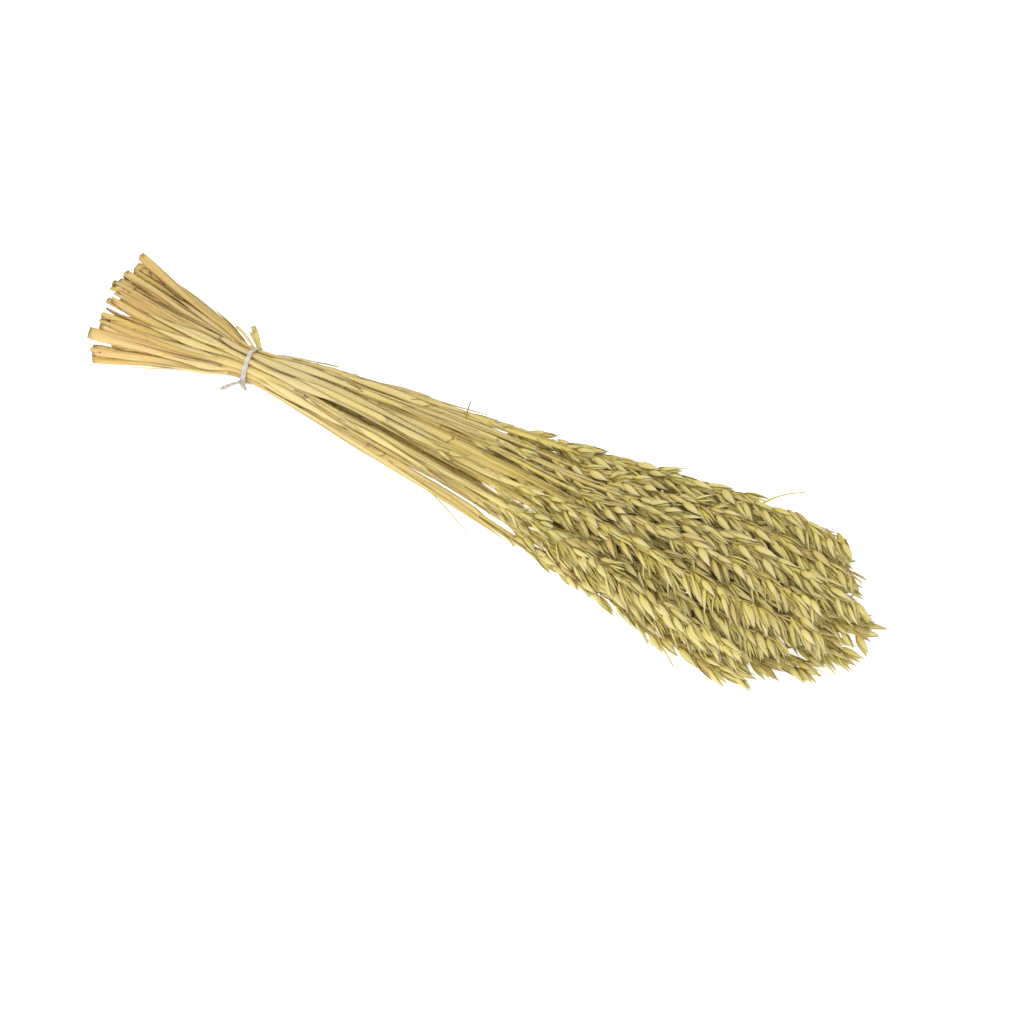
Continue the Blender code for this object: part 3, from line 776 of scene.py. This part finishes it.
def straw_rings(strand, route, xs, joints, draw):
    """The rings of a flattened straw with ridges along it and swollen joints, and their centres."""
    radius = straw_radius(strand, xs)
    for joint in joints:
        radius = radius * (1 + 0.13 * swelling(xs, joint, 0.0022))
    flat = np.interp(xs - TIE_X, ROUND_MARKS, STRAW_ROUND)
    widths, heights = radius * (1.0 + 0.55 * (1 - flat)), radius * flat
    turn = np.linspace(0, math.tau, STRAW_SIDES, endpoint=False)
    phase = draw.uniform(0, math.tau)
    roll = phase + 22 * (xs - strand.start)[:, None]
    ridges = 1 + 0.05 * np.cos(3 * turn + roll) + 0.035 * np.cos(5 * turn - 1.7 * roll)
    face = strand.turn + draw.gauss(0, 0.5) + 0.5 * np.sin((xs + draw.random()) * draw.uniform(8, 16))
    centres, directions = route.at(xs), route.along(xs)
    free = 0.0005 * np.clip(abs(xs - TIE_X) / 0.03 - 0.6, 0, 1)
    centres[:, 1] += free * np.sin(xs * draw.uniform(70, 110) + phase)
    centres[:, 2] += free * np.sin(xs * draw.uniform(60, 90) - phase)
    rings = tube_rings(centres, directions, widths, heights, outward(face), STRAW_SIDES, ridges)
    ragged = np.array([draw.uniform(0, 0.0006) for _ in range(STRAW_SIDES)])
    slant = draw.uniform(0.0002, 0.0020) * np.cos(turn + phase)
    rings[:2, :, 0] += ragged + slant + 0.0006 * np.cos(3 * turn - phase)
    return rings, centres


def straw_body(strand, route, joints, draw):
    """A straw with a hollow cut end, and the wear at each of its points, with painted shade inside the
    hollow.
    """
    near_cut = strand.start + np.array((0.0, 0.0008, 0.003))
    xs = np.concatenate([near_cut, np.arange(strand.start + 0.007, strand.head + 0.010, STEP)])
    rings, centres = straw_rings(strand, route, xs, joints, draw)
    hollow = []
    for ring, centre, (share, depth) in zip(rings, centres, HOLLOW):
        hollow.insert(0, ring * share + centre * (1 - share) + (depth, 0, 0))
    inside = np.full(len(HOLLOW), xs[0] - BUTT_END - 0.004)
    form = pipe(np.concatenate([hollow, rings]), STRAW, np.concatenate([inside, xs - BUTT_END]))
    worn = [swelling(xs, strand.start, 0.004)] + [swelling(xs, joint, 0.002) for joint in joints]
    # The inside of the hollow gets the highest wear value, which paints shade there.
    wear_and_shade = np.concatenate([np.full(len(HOLLOW), HOLLOW_SHADE), np.max(worn, axis=0)])
    return form, np.append(np.repeat(wear_and_shade, STRAW_SIDES), (wear_and_shade[0], wear_and_shade[-1]))


def sheath(strand, route, draw, start, end):
    """A leaf sheath wrapped round a straw, with an open edge along it and a torn end."""
    xs = np.append(np.arange(start, end, STEP), end)[:, None]
    share, from_tie = (xs - start) / (end - start), xs - TIE_X
    across = np.linspace(-0.5, 0.5, SHEATH_COLUMNS)[None]
    arc = draw.uniform(*SHEATH_ARCS)
    opening = draw.uniform(0, math.tau) + np.linspace(0, draw.gauss(0, 0.9), len(xs))[:, None]
    turn = opening + np.interp(xs - start, (0, 0.02), (JOINT_ARC, arc)) * across

    # It lies on the straw at its joint, wraps over itself, and lifts off along its open edge.
    risen = 1 - np.clip(1 - (xs - start) / 0.012, 0, 1) ** 2
    radius = straw_radius(strand, xs) * (1 + (0.155 + 0.13 * across) * risen)
    wave = 0.5 + 0.5 * np.sin(xs * draw.uniform(40, 90) + draw.random() * 6)
    lifted = np.clip(4 * across - 1, 0, 1) ** 2
    away = np.clip(abs(from_tie) / 0.04 - 0.5, 0, 1)
    radius = radius * (1 + 0.16 * share**6) + 0.0014 * wave * lifted * away
    flat = np.interp(from_tie, ROUND_MARKS, SHEATH_ROUND)
    tight = np.clip(abs(from_tie) / 0.03, 0.55, 1)
    x = radius * (1 + 0.5 * (1 - flat)) * tight * np.cos(turn)
    y = radius * flat * tight * np.sin(turn)

    facing = outward(strand.turn + math.pi / 2 + draw.gauss(0, 0.3))
    xs = xs[:, 0]
    line = route.at(xs), route.along(xs), facing
    outer, inner = (swept(*line, x * size, y * size) for size in (1.0, 0.9))
    torn = np.array([draw.uniform(-0.0015, 0.0015) for _ in range(SHEATH_COLUMNS)])
    torn += draw.uniform(0.002, 0.007) * np.cos(turn[-1] + draw.uniform(0, math.tau)) - 0.004
    for surface in (outer, inner):
        surface[..., 0] += torn * np.clip((share - 0.85) / 0.15, 0, 1)
    return shell(outer, inner, DRY_LEAF, xs - BUTT_END)


def filler(route, draw, start, stop):
    """A flat piece of broken sheath that lies between two straws and is held by the tie."""
    share = np.linspace(0, 1, 22)
    width = draw.uniform(0.0018, 0.0034) * np.interp(share, (0, 0.3, 0.97, 1), (0.4, 0.85, 1, 0.6))
    width = width * (1 + 0.12 * np.sin(share * 13 + draw.random() * 6))
    face = draw.uniform(0, math.tau) + draw.gauss(0, 1.2) * share
    points = route.at(start + (stop - start) * share)
    wave = 0.0012 * np.sin(share * draw.uniform(4, 9) + draw.random() * 6) * share
    points[:, 1:] += wave[:, None]
    return ribbon(points, width, outward(face), DRY_LEAF, fold=0.45)


def strip(strand, route, middle, draw, start, length):
    """A dry strip of leaf that lies along a straw, on its outer side, and lifts off towards its tip."""
    share = np.linspace(0, 1, 18)
    xs = start + length * share
    turn = turn_from(middle, route, start) + draw.gauss(0, 0.6) + draw.gauss(0, 0.7) * share
    lift = straw_radius(strand, xs) * 0.75 + 0.0012 + draw.uniform(0.0, 0.005) * share**2
    width = draw.uniform(0.0005, 0.0020) * (1 + 0.15 * np.sin(share * 11 + draw.random() * 6))
    width = width * np.interp(share, (0, 0.1, 0.7, 1), (0.5, 1, 0.8, 0.08))
    face = turn + draw.gauss(0, 0.5) + draw.gauss(0, 1.0) * share
    points = route.at(xs) + outward(turn) * lift[:, None]
    return ribbon(points, width, outward(face), DRY_LEAF, fold=0.35, columns=3)


def flap(strand, route, middle, draw, start, length):
    """A broad piece of dry sheath that lies over the outside of the straws and is pointed at both ends."""
    share = np.linspace(0, 1, 20)
    xs = start + length * share
    turn = turn_from(middle, route, start) + draw.gauss(0, 0.25) + draw.gauss(0, 0.6) * share
    lift = straw_radius(strand, xs) * np.interp(share, (0, 0.2, 1), (0.2, 0.95, 1.1))
    lift = lift + np.interp(share, (0, 0.2, 1), (0, 0.0008, 0.0008 + draw.uniform(0, 0.003)))
    taper = np.interp(share, (0, 0.35, 0.5, 0.8, 1), (0.05, 0.85, 1, 0.5, 0.06))
    width = draw.uniform(0.0022, 0.0044) * taper * (1 + 0.12 * np.sin(share * 9 + draw.random() * 6))
    face = turn + draw.gauss(0, 0.2) + draw.gauss(0, 0.5) * share
    points = route.at(xs) + outward(turn) * lift[:, None]
    return ribbon(points, width, outward(face), DRY_LEAF, fold=-0.2)


def broad_leaf(strand, route, start, length, turn, width):
    """A broad dry leaf that lies on a straw and is pointed at both ends."""
    share = np.linspace(0, 1, 22)
    xs = start + length * share
    away = outward(turn + 0.25 * np.sin(5 * share + 1))
    lift = straw_radius(strand, xs) * 0.9 + 0.0008
    taper = np.interp(share, (0, 0.3, 0.6, 1), (0.04, 0.75, 1, 0.15))
    widths = width * taper * (1 + 0.08 * np.sin(9 * share))
    return ribbon(route.at(xs) + away * lift[:, None], widths, away, DRY_LEAF, fold=-0.25)


def bit(strand, route, x, turn, reach, width, kind):
    """A stub of leaf or a whisker that is rooted on a straw, stands off it and is a little arched."""
    share = np.linspace(0, 1, 12)
    root = route.at(x)[0] + straw_radius(strand, x) * 0.6 * outward(turn)
    arch = min(np.linalg.norm(reach) * 0.12, 0.004) * np.sin(share * math.pi)
    points = root + np.array(reach) * share[:, None] + arch[:, None] * (0, 0, 1)
    if width < FINEST_BLADE:
        return string(points, width * np.interp(share, (0, 1), (1, 0.6)), 4, kind)
    widths = width * np.interp(share, (0, 0.5, 0.94, 1), (0.5, 1, 0.95, 0.7))
    return ribbon(points, widths, np.tile(NEAR_SIDE, (len(share), 1)), kind, fold=0.3)


class Straw:
    """A straw in the making: its body, its sheaths and what is loose on it."""

    def __init__(self, number, strand, route, middle, beside, draw):
        self.strand, self.route, self.middle, self.draw = strand, route, middle, draw
        self.piece = Piece()
        self.loose_cells = cells(0.60, 0.01, 0.039, 0.49, 10)
        self.tone = draw.gauss(0, 1)
        joints = [draw.uniform(*span) for span in JOINTS]
        body, wear_and_shade = straw_body(strand, route, joints, draw)
        shade = np.stack(np.broadcast_arrays(self.tone, draw.random(), wear_and_shade), axis=-1)
        self.piece.add(body, shade, (0.01, 0.01, 0.26, 0.98))
        self.add_sheaths(joints)
        for k, other in enumerate(beside):
            self.add_filler(other, k < len(beside) / 2)
        for k in range(FLAPS if strand.reach > OUTER else 0):
            self.add_flap(k)
        for k in range(STRIPS if strand.reach > INNER else 1):
            self.add_strip(k)
        # The whiskers' low tones and high wear paint shade on them.
        for stalk, *rest, tone, wear_and_shade in BITS:
            if stalk == number:
                self.add_loose(bit(strand, route, *rest), (tone, BIT_HUE, wear_and_shade))
        for stalk, *rest in BROAD_LEAVES:
            if stalk == number:
                self.add_loose(broad_leaf(strand, route, *rest), BROAD_SHADE)

    def add_loose(self, form, shade):
        """Adds one of at most twenty loose parts, each with a cell of its own on the map."""
        self.piece.add(form, shade, next(self.loose_cells))

    def add_sheaths(self, joints):
        """Adds a sheath at the cut end and one above each of the two other joints."""
        draw, strand = self.draw, self.strand
        spans = [(strand.start + draw.uniform(-0.001, 0.002), draw.uniform(-0.235, -0.190))]
        spans.append((joints[1], joints[2] - draw.uniform(0.0, 0.02)))
        spans.append((joints[2], min(joints[2] + draw.uniform(0.07, 0.13), strand.head - 0.01)))
        for span, cell in zip(spans, cells(0.28, 0.01, 0.105, 1.04, 3)):
            shade = (self.tone + draw.gauss(0, 0.8), draw.random(), 0.0)
            self.piece.add(sheath(strand, self.route, draw, *span), shade, cell)

    def add_filler(self, other, at_butts):
        """Adds a broken sheath between this straw and another one, on one side of the tie."""
        draw, route, share = self.draw, self.route, self.draw.uniform(0.35, 0.65)
        between = Route(route.xs, route.places * share + other.places * (1 - share))
        if at_butts:
            stop = self.strand.start + draw.uniform(0.0, 0.05)
        else:
            stop = TIE_X + draw.uniform(0.18, 0.28)
        # Fillers are darker and more golden than their straw, as painted shade between the straws.
        shade = (self.tone - 1.3 + draw.gauss(0, 0.8), 0.3 * draw.random(), draw.random() ** 3)
        form = filler(between, draw, TIE_X + draw.uniform(-0.01, 0.01), stop)
        xs = np.linspace(TIE_X, stop, 12)
        widest = np.linalg.norm(route.at(xs) - other.at(xs), axis=1).max()
        if at_butts or widest < WIDEST_FILLED:
            self.add_loose(form, shade)

    def add_flap(self, k):
        """Adds a flap: the first from the tie to the cut ends, the next to the heads, others further on."""
        draw = self.draw
        if k == 0:
            length = -min(draw.uniform(0.05, 0.12), TIE_X - self.strand.start - 0.012)
        else:
            length = draw.uniform(0.06, 0.14)
        from_tie = draw.uniform(0.005, 0.012) if k < 2 else draw.uniform(0.06, 0.15)
        start = TIE_X + math.copysign(from_tie, length)
        shade = (0.5 * self.tone + draw.gauss(0.5, 0.7), draw.random(), draw.random() ** 3)
        self.add_loose(flap(self.strand, self.route, self.middle, draw, start, length), shade)

    def add_strip(self, k):
        """Adds a strip towards the heads, or for the first at times towards the cut ends."""
        draw, strand = self.draw, self.strand
        backwards = k == 0 and draw.random() < 0.5
        start = TIE_X + (draw.uniform(-0.05, -0.01) if backwards else draw.uniform(0.01, 0.26))
        length = -draw.uniform(0.05, 0.12) if backwards else draw.uniform(0.05, 0.13)
        length = max(length, strand.start + 0.004 - start)
        if start + length < strand.head + 0.04:
            shade = (self.tone + draw.gauss(0, 1), draw.random(), draw.random() ** 3)
            self.add_loose(strip(strand, self.route, self.middle, draw, start, length), shade)


def make_leaf(strand, route, draw):
    """A dry blade with a wavy edge and a thin tip."""
    xs = np.linspace(strand.start, strand.end, 48)
    share = (xs - strand.start) / (strand.end - strand.start)
    widths = leaf_radius(strand, xs) * (1 + 0.10 * np.sin(share * 19 + draw.random() * 6))
    widths = widths * np.interp(share, (0.85, 1), (1, 0.1))
    face = strand.turn + 0.35 * np.sin(share * 5 + draw.random() * 6)
    piece = Piece()
    blade = ribbon(route.at(xs), widths, outward(face), DRY_LEAF, fold=0.35)
    piece.add(blade, (draw.gauss(0, 0.5), draw.random(), 0.1))
    return piece


def tie_hull(strands, routes, x, margin, turns):
    """The outermost points of all straws at x, in each direction of turns, smoothed."""
    spots = np.array([route.at(x)[0, 1:] for route in routes])
    widths = [leaf_radius if strand.leaf else straw_radius for strand in strands]
    radii = np.array([float(width(strand, x)) for width, strand in zip(widths, strands)])
    towards = outward(turns)[:, 1:]
    best = (spots @ towards.T + radii[:, None]).argmax(axis=0)
    hull = spots[best] + towards * (radii[best] + margin)[:, None]
    for _ in range(3):
        hull = (np.roll(hull, 1, axis=0) + 2 * hull + np.roll(hull, -1, axis=0)) / 4
    return hull


def make_tie(strands, routes, draw):
    """Three turns of white string, a knot on the near side and two tails."""
    piece = Piece()
    turns = np.linspace(0, math.tau, WINDING_STEPS)
    for k, (offset, cell) in enumerate(zip(WINDINGS, cells(0.0, 0.0, 1.06, 0.16))):
        lean = draw.gauss(0, 0.0003)
        hull = tie_hull(strands, routes, TIE_X + offset, WINDING_MARGIN, turns)
        hull[-1] = hull[0]
        xs = TIE_X + offset + lean * np.sin(turns + draw.random() * 6) + 0.0001 * np.sin(turns * 7 + k)
        winding = string(np.column_stack([xs, hull]), STRING_RADIUS)
        piece.add(winding, (draw.gauss(0, 1), 0, 0), cell)
    turns = np.linspace(0, math.tau, KNOT_STEPS + 1)
    hull = tie_hull(strands, routes, TIE_X, KNOT_MARGIN, turns)
    centre = np.array((TIE_X, *hull[int(KNOT_TURN / math.tau * KNOT_STEPS)]))
    out = outward(KNOT_TURN)
    ahead, side = np.array((1.0, 0, 0)), np.array((0, -out[2], out[1]))
    angle = np.linspace(0, math.tau, 40)[:, None]
    for (wide, tall, tilt), cell in zip(KNOT_LOOPS, cells(0.0, 0.82, 0.42, 0.04)):
        up = side * tall + out * 0.0016 * tilt
        loop = string(centre + ahead * wide * np.cos(angle) + up * np.sin(angle), STRING_RADIUS)
        piece.add(loop, (draw.gauss(0, 1), 0, 0), cell)
    tail_cells = cells(0.45, 0.82, 0.09, 0.17, 6)
    share = np.linspace(0, 1, 16)[:, None]
    radius = TAIL_RADIUS * np.interp(share[:, 0], (0, 0.8, 1), (0.7, 1.1, 0.7))
    for (run, fall, rise), fibre in itertools.product(TAILS, range(TAIL_FIBRES)):
        sway = draw.gauss(0, 0.0006) + 0.0011 * (fibre - 1)
        path = centre - side * 0.0035 * (1 - share) + ahead * run * share
        path = path + out * rise * np.sin(share * math.pi / 2) + side * sway * share
        path = path + np.array((0, 0, fall)) * share**1.5
        piece.add(string(path, radius), (-2.0 + draw.gauss(0, 0.5), 0, 0), next(tail_cells))
    return piece


def shader_node(tree, kind, inputs=None, **settings):
    """A new shader node with its settings and inputs, each a value or the output of another node."""
    made = tree.nodes.new(kind)
    for key, value in settings.items():
        setattr(made, key, value)
    for key, value in (inputs or {}).items():
        if isinstance(value, bpy.types.NodeSocket):
            tree.links.new(value, made.inputs[key])
        else:
            made.inputs[key].default_value = value
    return made


class Looks:
    """A material in the making."""

    def __init__(self, name, roughness, specular):
        self.material = bpy.data.materials.new(name)
        self.material.use_nodes = True
        self.tree = self.material.node_tree
        self.shader = self.tree.nodes["Principled BSDF"]
        self.shader.inputs["Roughness"].default_value = roughness
        self.shader.inputs["Specular IOR Level"].default_value = specular

    def mark(self, name):
        """The three numbers that each point carries under this name."""
        source = shader_node(self.tree, "ShaderNodeAttribute", attribute_name=name)
        return shader_node(self.tree, "ShaderNodeSeparateXYZ", {0: source.outputs["Vector"]}).outputs

    def calc(self, operation, a, b=0.0):
        """The result of a Math node."""
        return shader_node(self.tree, "ShaderNodeMath", {0: a, 1: b}, operation=operation).outputs[0]

    def times(self, a, b):
        """The product of two values."""
        return self.calc("MULTIPLY", a, b)

    def noise(self, scale, detail=3.0, vector=None, roughness=0.55):
        """Noise in the object's space, or in that of a vector."""
        if vector is None:
            vector = shader_node(self.tree, "ShaderNodeTexCoord").outputs["Object"]
        inputs = {"Vector": vector, "Scale": scale, "Detail": detail, "Roughness": roughness}
        return shader_node(self.tree, "ShaderNodeTexNoise", inputs).outputs["Fac"]

    def vector(self, x, y, z):
        """A vector of three values."""
        return shader_node(self.tree, "ShaderNodeCombineXYZ", {0: x, 1: y, 2: z}).outputs[0]

    def ramp(self, factor, stops):
        """The colour at a factor, between stops of (place, colour)."""
        made = shader_node(self.tree, "ShaderNodeValToRGB", {"Fac": factor})
        ramp = made.color_ramp
        while len(ramp.elements) < len(stops):
            ramp.elements.new(0.5)
        for element, (place, colour) in zip(ramp.elements, stops):
            element.position = place
            element.color = (*colour, 1)
        return made.outputs["Color"]

    def mix(self, factor, a, b):
        """Colour a, with b over it by the factor."""
        a, b = ((*colour, 1) if isinstance(colour, tuple) else colour for colour in (a, b))
        inputs = {0: factor, 6: a, 7: b}
        return shader_node(self.tree, "ShaderNodeMix", inputs, data_type="RGBA").outputs[2]

    def layered(self, colour, *layers):
        """The colour with others laid over it, each as (factor, colour)."""
        for factor, over in layers:
            colour = self.mix(factor, colour, over)
        return colour

    def remap(self, value, low, high, to_low=0.0, to_high=1.0):
        """The value taken from one range to another, and kept inside it."""
        inputs = {"Value": value, "From Min": low, "From Max": high, "To Min": to_low, "To Max": to_high}
        return shader_node(self.tree, "ShaderNodeMapRange", inputs).outputs["Result"]

    def toned(self, colour, tone, dark, light):
        """The colour, darker and more saturated for a low tone."""
        value = self.remap(tone, -2.2, 2.2, dark, light)
        saturation = self.remap(tone, -2.2, 0.3, 1.10, 1.0)
        inputs = {"Value": value, "Saturation": saturation, "Color": colour}
        return shader_node(self.tree, "ShaderNodeHueSaturation", inputs).outputs["Color"]

    def finish(self, colour, height, depth, roughness=None):
        """The material with this colour, bumps of this height and depth in metres, and roughness."""
        inputs = {"Height": height, "Strength": 0.6, "Distance": depth}
        bump = shader_node(self.tree, "ShaderNodeBump", inputs)
        self.tree.links.new(colour, self.shader.inputs["Base Color"])
        self.tree.links.new(bump.outputs["Normal"], self.shader.inputs["Normal"])
        if roughness is not None:
            self.tree.links.new(roughness, self.shader.inputs["Roughness"])
        return self.material


def husk_material():
    """Khaki husks with pale veins along them, painted shade at their roots and edges, yellow-green florets
    and straw stems.
    """
    looks = Looks("oat_husk", 0.75, 0.06)
    along, across, kind = looks.mark("mark")
    tone, hue, wear_and_shade = looks.mark("shade")
    patches, grit = looks.noise(55.0), looks.noise(900.0, 2.0)
    waves = looks.calc("COSINE", looks.times(across, 14.0))
    grooves, veins = looks.remap(waves, -0.3, -1.0), looks.remap(waves, -0.2, 1.0)
    colour = looks.layered(
        # From a dark brown root, which is painted shade where other husks cover it, to a pale tip.
        looks.ramp(along, HUSK_COLOURS),
        (looks.remap(hue, 0.35, 1.0, 0.0, 0.55), (0.68, 0.66, 0.21)),
        (looks.remap(patches, 0.35, 0.7, 0.0, 0.45), (0.83, 0.70, 0.34)),
        (looks.times(kind, 0.55), (0.68, 0.66, 0.08)),
        (looks.remap(kind, 1.4, 1.9), (0.78, 0.60, 0.22)),
        (looks.times(veins, 0.28), (0.82, 0.75, 0.54)),
        (looks.times(grooves, 0.30), (0.60, 0.47, 0.11)),
        (looks.remap(grit, 0.3, 0.75, 0.0, 0.18), (0.50, 0.40, 0.11)),
        (looks.remap(wear_and_shade, 0.5, 1.0, 0.0, 0.55), (0.52, 0.33, 0.15)),
        # Painted shade: each husk grows darker and more saturated towards its steep edges.
        (looks.remap(looks.calc("ABSOLUTE", across), 0.62, 1.0, 0.0, 0.5), (0.68, 0.50, 0.10)),
    )
    height = looks.calc("ADD", looks.times(veins, 0.8), looks.times(grit, 0.4))
    varied = looks.toned(colour, tone, 0.93, 0.98)
    return looks.finish(varied, height, 0.0003, looks.remap(grit, 0.3, 0.7, 0.65, 0.85))


def straw_material(name, pale, golden, green):
    """Golden straw with long streaks, pale sheaths, brown joints, and painted shade inside its hollow ends
    and on whiskers.
    """
    looks = Looks(name, 0.65, 0.08)
    along, across, kind = looks.mark("mark")
    tone, hue, wear_and_shade = looks.mark("shade")
    shift = looks.times(tone, 7.3)
    place = looks.vector(looks.times(along, 14.0), looks.times(across, 6.0), shift)
    streaks = looks.noise(1.6, 4.0, place, 0.6)
    place = looks.vector(looks.times(along, 30.0), looks.times(across, 32.0), shift)
    fine = looks.noise(1.0, 3.0, place, 0.6)
    spots = looks.noise(70.0)
    warm = looks.mix(looks.remap(hue, 0.5, 0.0, 0.0, 0.6), golden, (0.80, 0.47, 0.12))
    cool = looks.mix(looks.remap(hue, 0.6, 1.0, 0.0, 0.7), pale, (0.86, 0.75, 0.34))
    butt = looks.times(looks.remap(along, 0.16, 0.04), looks.remap(hue, 1.0, 0.3, 0.3, 0.6))
    greener = looks.times(looks.remap(along, 0.22, 0.48), looks.remap(hue, 0.2, 1.0, 0.25, 0.9))
    colour = looks.layered(
        warm,
        (looks.remap(streaks, 0.32, 0.66), cool),
        (looks.times(looks.calc("MINIMUM", kind, 1.0), 0.3), pale),
        (butt, (0.78, 0.53, 0.20)),
        (looks.remap(along, 0.13, 0.24, 0.0, 0.4), (0.90, 0.75, 0.32)),
        (greener, green),
        (looks.remap(kind, 1.4, 1.9), (0.66, 0.62, 0.13)),
        (looks.remap(fine, 0.45, 0.8, 0.0, 0.45), (0.60, 0.35, 0.06)),
        (looks.remap(fine, 0.45, 0.2, 0.0, 0.5), (0.80, 0.74, 0.56)),
        (looks.remap(spots, 0.66, 0.74, 0.0, 0.5), (0.36, 0.18, 0.06)),
        # Wear up to 1 browns the joints and cut ends. The higher wear of whiskers and hollow ends is
        # painted shade, ending in dark brown.
        (looks.remap(wear_and_shade, 0.3, 1.2, 0.0, 0.5), (0.48, 0.28, 0.10)),
        (looks.remap(wear_and_shade, 1.2, 1.9, 0.0, 0.85), (0.26, 0.16, 0.06)),
    )
    height = looks.calc("ADD", looks.times(fine, 0.8), looks.times(streaks, 0.5))
    varied = looks.toned(colour, tone, 0.93, 1.01)
    return looks.finish(varied, height, 0.0006, looks.remap(streaks, 0.3, 0.7, 0.5, 0.75))


def string_material():
    """White string, spun from long fibres."""
    looks = Looks("white_string", 0.75, 0.2)
    along, across, _ = looks.mark("mark")
    tone, _, _ = looks.mark("shade")
    twist = looks.calc("ADD", looks.times(along, 900.0), looks.times(across, math.pi))
    wave, fibre = looks.calc("SINE", twist), looks.noise(500.0)
    colour = looks.mix(looks.remap(wave, -1.0, 1.0), (0.62, 0.55, 0.48), (0.84, 0.78, 0.71))
    colour = looks.mix(looks.remap(fibre, 0.4, 0.7, 0.0, 0.3), colour, (0.66, 0.63, 0.57))
    varied = looks.toned(colour, tone, 0.70, 1.06)
    return looks.finish(varied, looks.calc("ADD", wave, fibre), 0.0004)


def make_floor():
    """The white surface, which glows a little so that it stays pale all round."""
    mesh = bpy.data.meshes.new("floor")
    corners = [(FLOOR_SIZE * x, FLOOR_SIZE * y, 0) for x, y in ((-1, -1), (1, -1), (1, 1), (-1, 1))]
    mesh.from_pydata(corners, [], [(0, 1, 2, 3)])
    floor = bpy.data.objects.new("floor", mesh)
    floor.location.z = FLOOR_Z
    bpy.context.scene.collection.objects.link(floor)
    looks = Looks("white_surface", 0.9, 0.0)
    looks.shader.inputs["Base Color"].default_value = FLOOR_COLOUR
    looks.shader.inputs["Emission Color"].default_value = (1, 1, 1, 1)
    looks.shader.inputs["Emission Strength"].default_value = FLOOR_GLOW
    mesh.materials.append(looks.material)


def make_camera():
    """The camera of the photo."""
    azimuth, elevation = math.radians(CAMERA_AZIMUTH), math.radians(CAMERA_ELEVATION)
    flat = math.cos(elevation)
    back = Vector((math.sin(azimuth) * flat, -math.cos(azimuth) * flat, math.sin(elevation)))
    right = Vector((math.cos(azimuth), math.sin(azimuth), 0))
    up = back.cross(right)
    aim = Vector((0, 0, AIM_HEIGHT)) + right * CAMERA_AIM[0] + up * CAMERA_AIM[1]
    lens = bpy.data.cameras.new("camera")
    lens.lens = CAMERA_LENS
    lens.clip_end = 50
    camera = bpy.data.objects.new("camera", lens)
    camera.location = aim + back * CAMERA_DISTANCE
    camera.rotation_euler = back.to_track_quat("Z", "Y").to_euler()
    bpy.context.scene.collection.objects.link(camera)
    bpy.context.scene.camera = camera


def make_light():
    """A large soft light on the near side."""
    data = bpy.data.lights.new("key", "AREA")
    data.shape = "DISK"
    data.size = KEY_SIZE
    data.energy = KEY_POWER
    light = bpy.data.objects.new("key", data)
    light.location = KEY_PLACE
    light.rotation_euler = (Vector(KEY_PLACE) - Vector(KEY_AIM)).to_track_quat("Z", "Y").to_euler()
    bpy.context.scene.collection.objects.link(light)


def make_studio():
    """White light from all round, the soft light, the surface and the camera."""
    world = bpy.data.worlds.new("studio")
    world.use_nodes = True
    world.node_tree.nodes["Background"].inputs["Color"].default_value = (1, 1, 1, 1)
    world.node_tree.nodes["Background"].inputs["Strength"].default_value = SKY_STRENGTH
    bpy.context.scene.world = world
    bpy.context.scene.view_settings.view_transform = "Standard"
    make_light()
    make_floor()
    make_camera()


def make_bundle(strands, xs, places, room):
    """The fine piece for each straw, head and leaf, and for the tie."""
    routes, middle = [Route(xs, place) for place in places], Route(xs, places.mean(axis=0))
    stalks = routes[:STALKS]
    husks = husk_material()
    straws = straw_material("oat_straw", *STRAW_COLOURS)
    blades = straw_material("dry_blade", *BLADE_COLOURS)
    spikelets = [
        [spikelet(*shape, florets) for shape in SPIKELET_SHAPES] for florets in range(1, len(FLORETS) + 1)
    ]
    draw = random.Random(SEED + 4)
    for number, (strand, route) in enumerate(zip(strands[:STALKS], stalks), 1):
        beside = [other for x in BESIDE_AT for other in nearest(stalks, route, x)]
        straw = Straw(number, strand, route, middle, beside, draw).piece
        straw.build(f"culm_{number:02d}", f"straw_{number:02d}", "straw", straws, room)
        beside = nearest(stalks, route, (strand.head + strand.end) / 2)
        head = Head(strand, route, beside, room, draw, spikelets).piece
        head.build(f"panicle_{number:02d}", f"head_{number:02d}", "husk", husks, room)
    for number, (strand, route) in enumerate(zip(strands[STALKS:], routes[STALKS:]), 1):
        leaf = make_leaf(strand, route, draw)
        leaf.build(f"blade_{number:02d}", f"leaf_{number:02d}", "dry_leaf", blades, room)
    make_tie(strands, routes, draw).build("binding", "tie", "tie_band", string_material(), room)


def main():
    """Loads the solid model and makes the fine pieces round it."""
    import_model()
    cad_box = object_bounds()
    room = (np.array(cad_box[0]) + ROOM_INSET, np.array(cad_box[1]) - ROOM_INSET)
    draw = random.Random(SEED)
    strands = make_strands(draw)
    xs, places = settle(strands, draw)
    make_bundle(strands, xs, places, room)
    make_studio()


main()
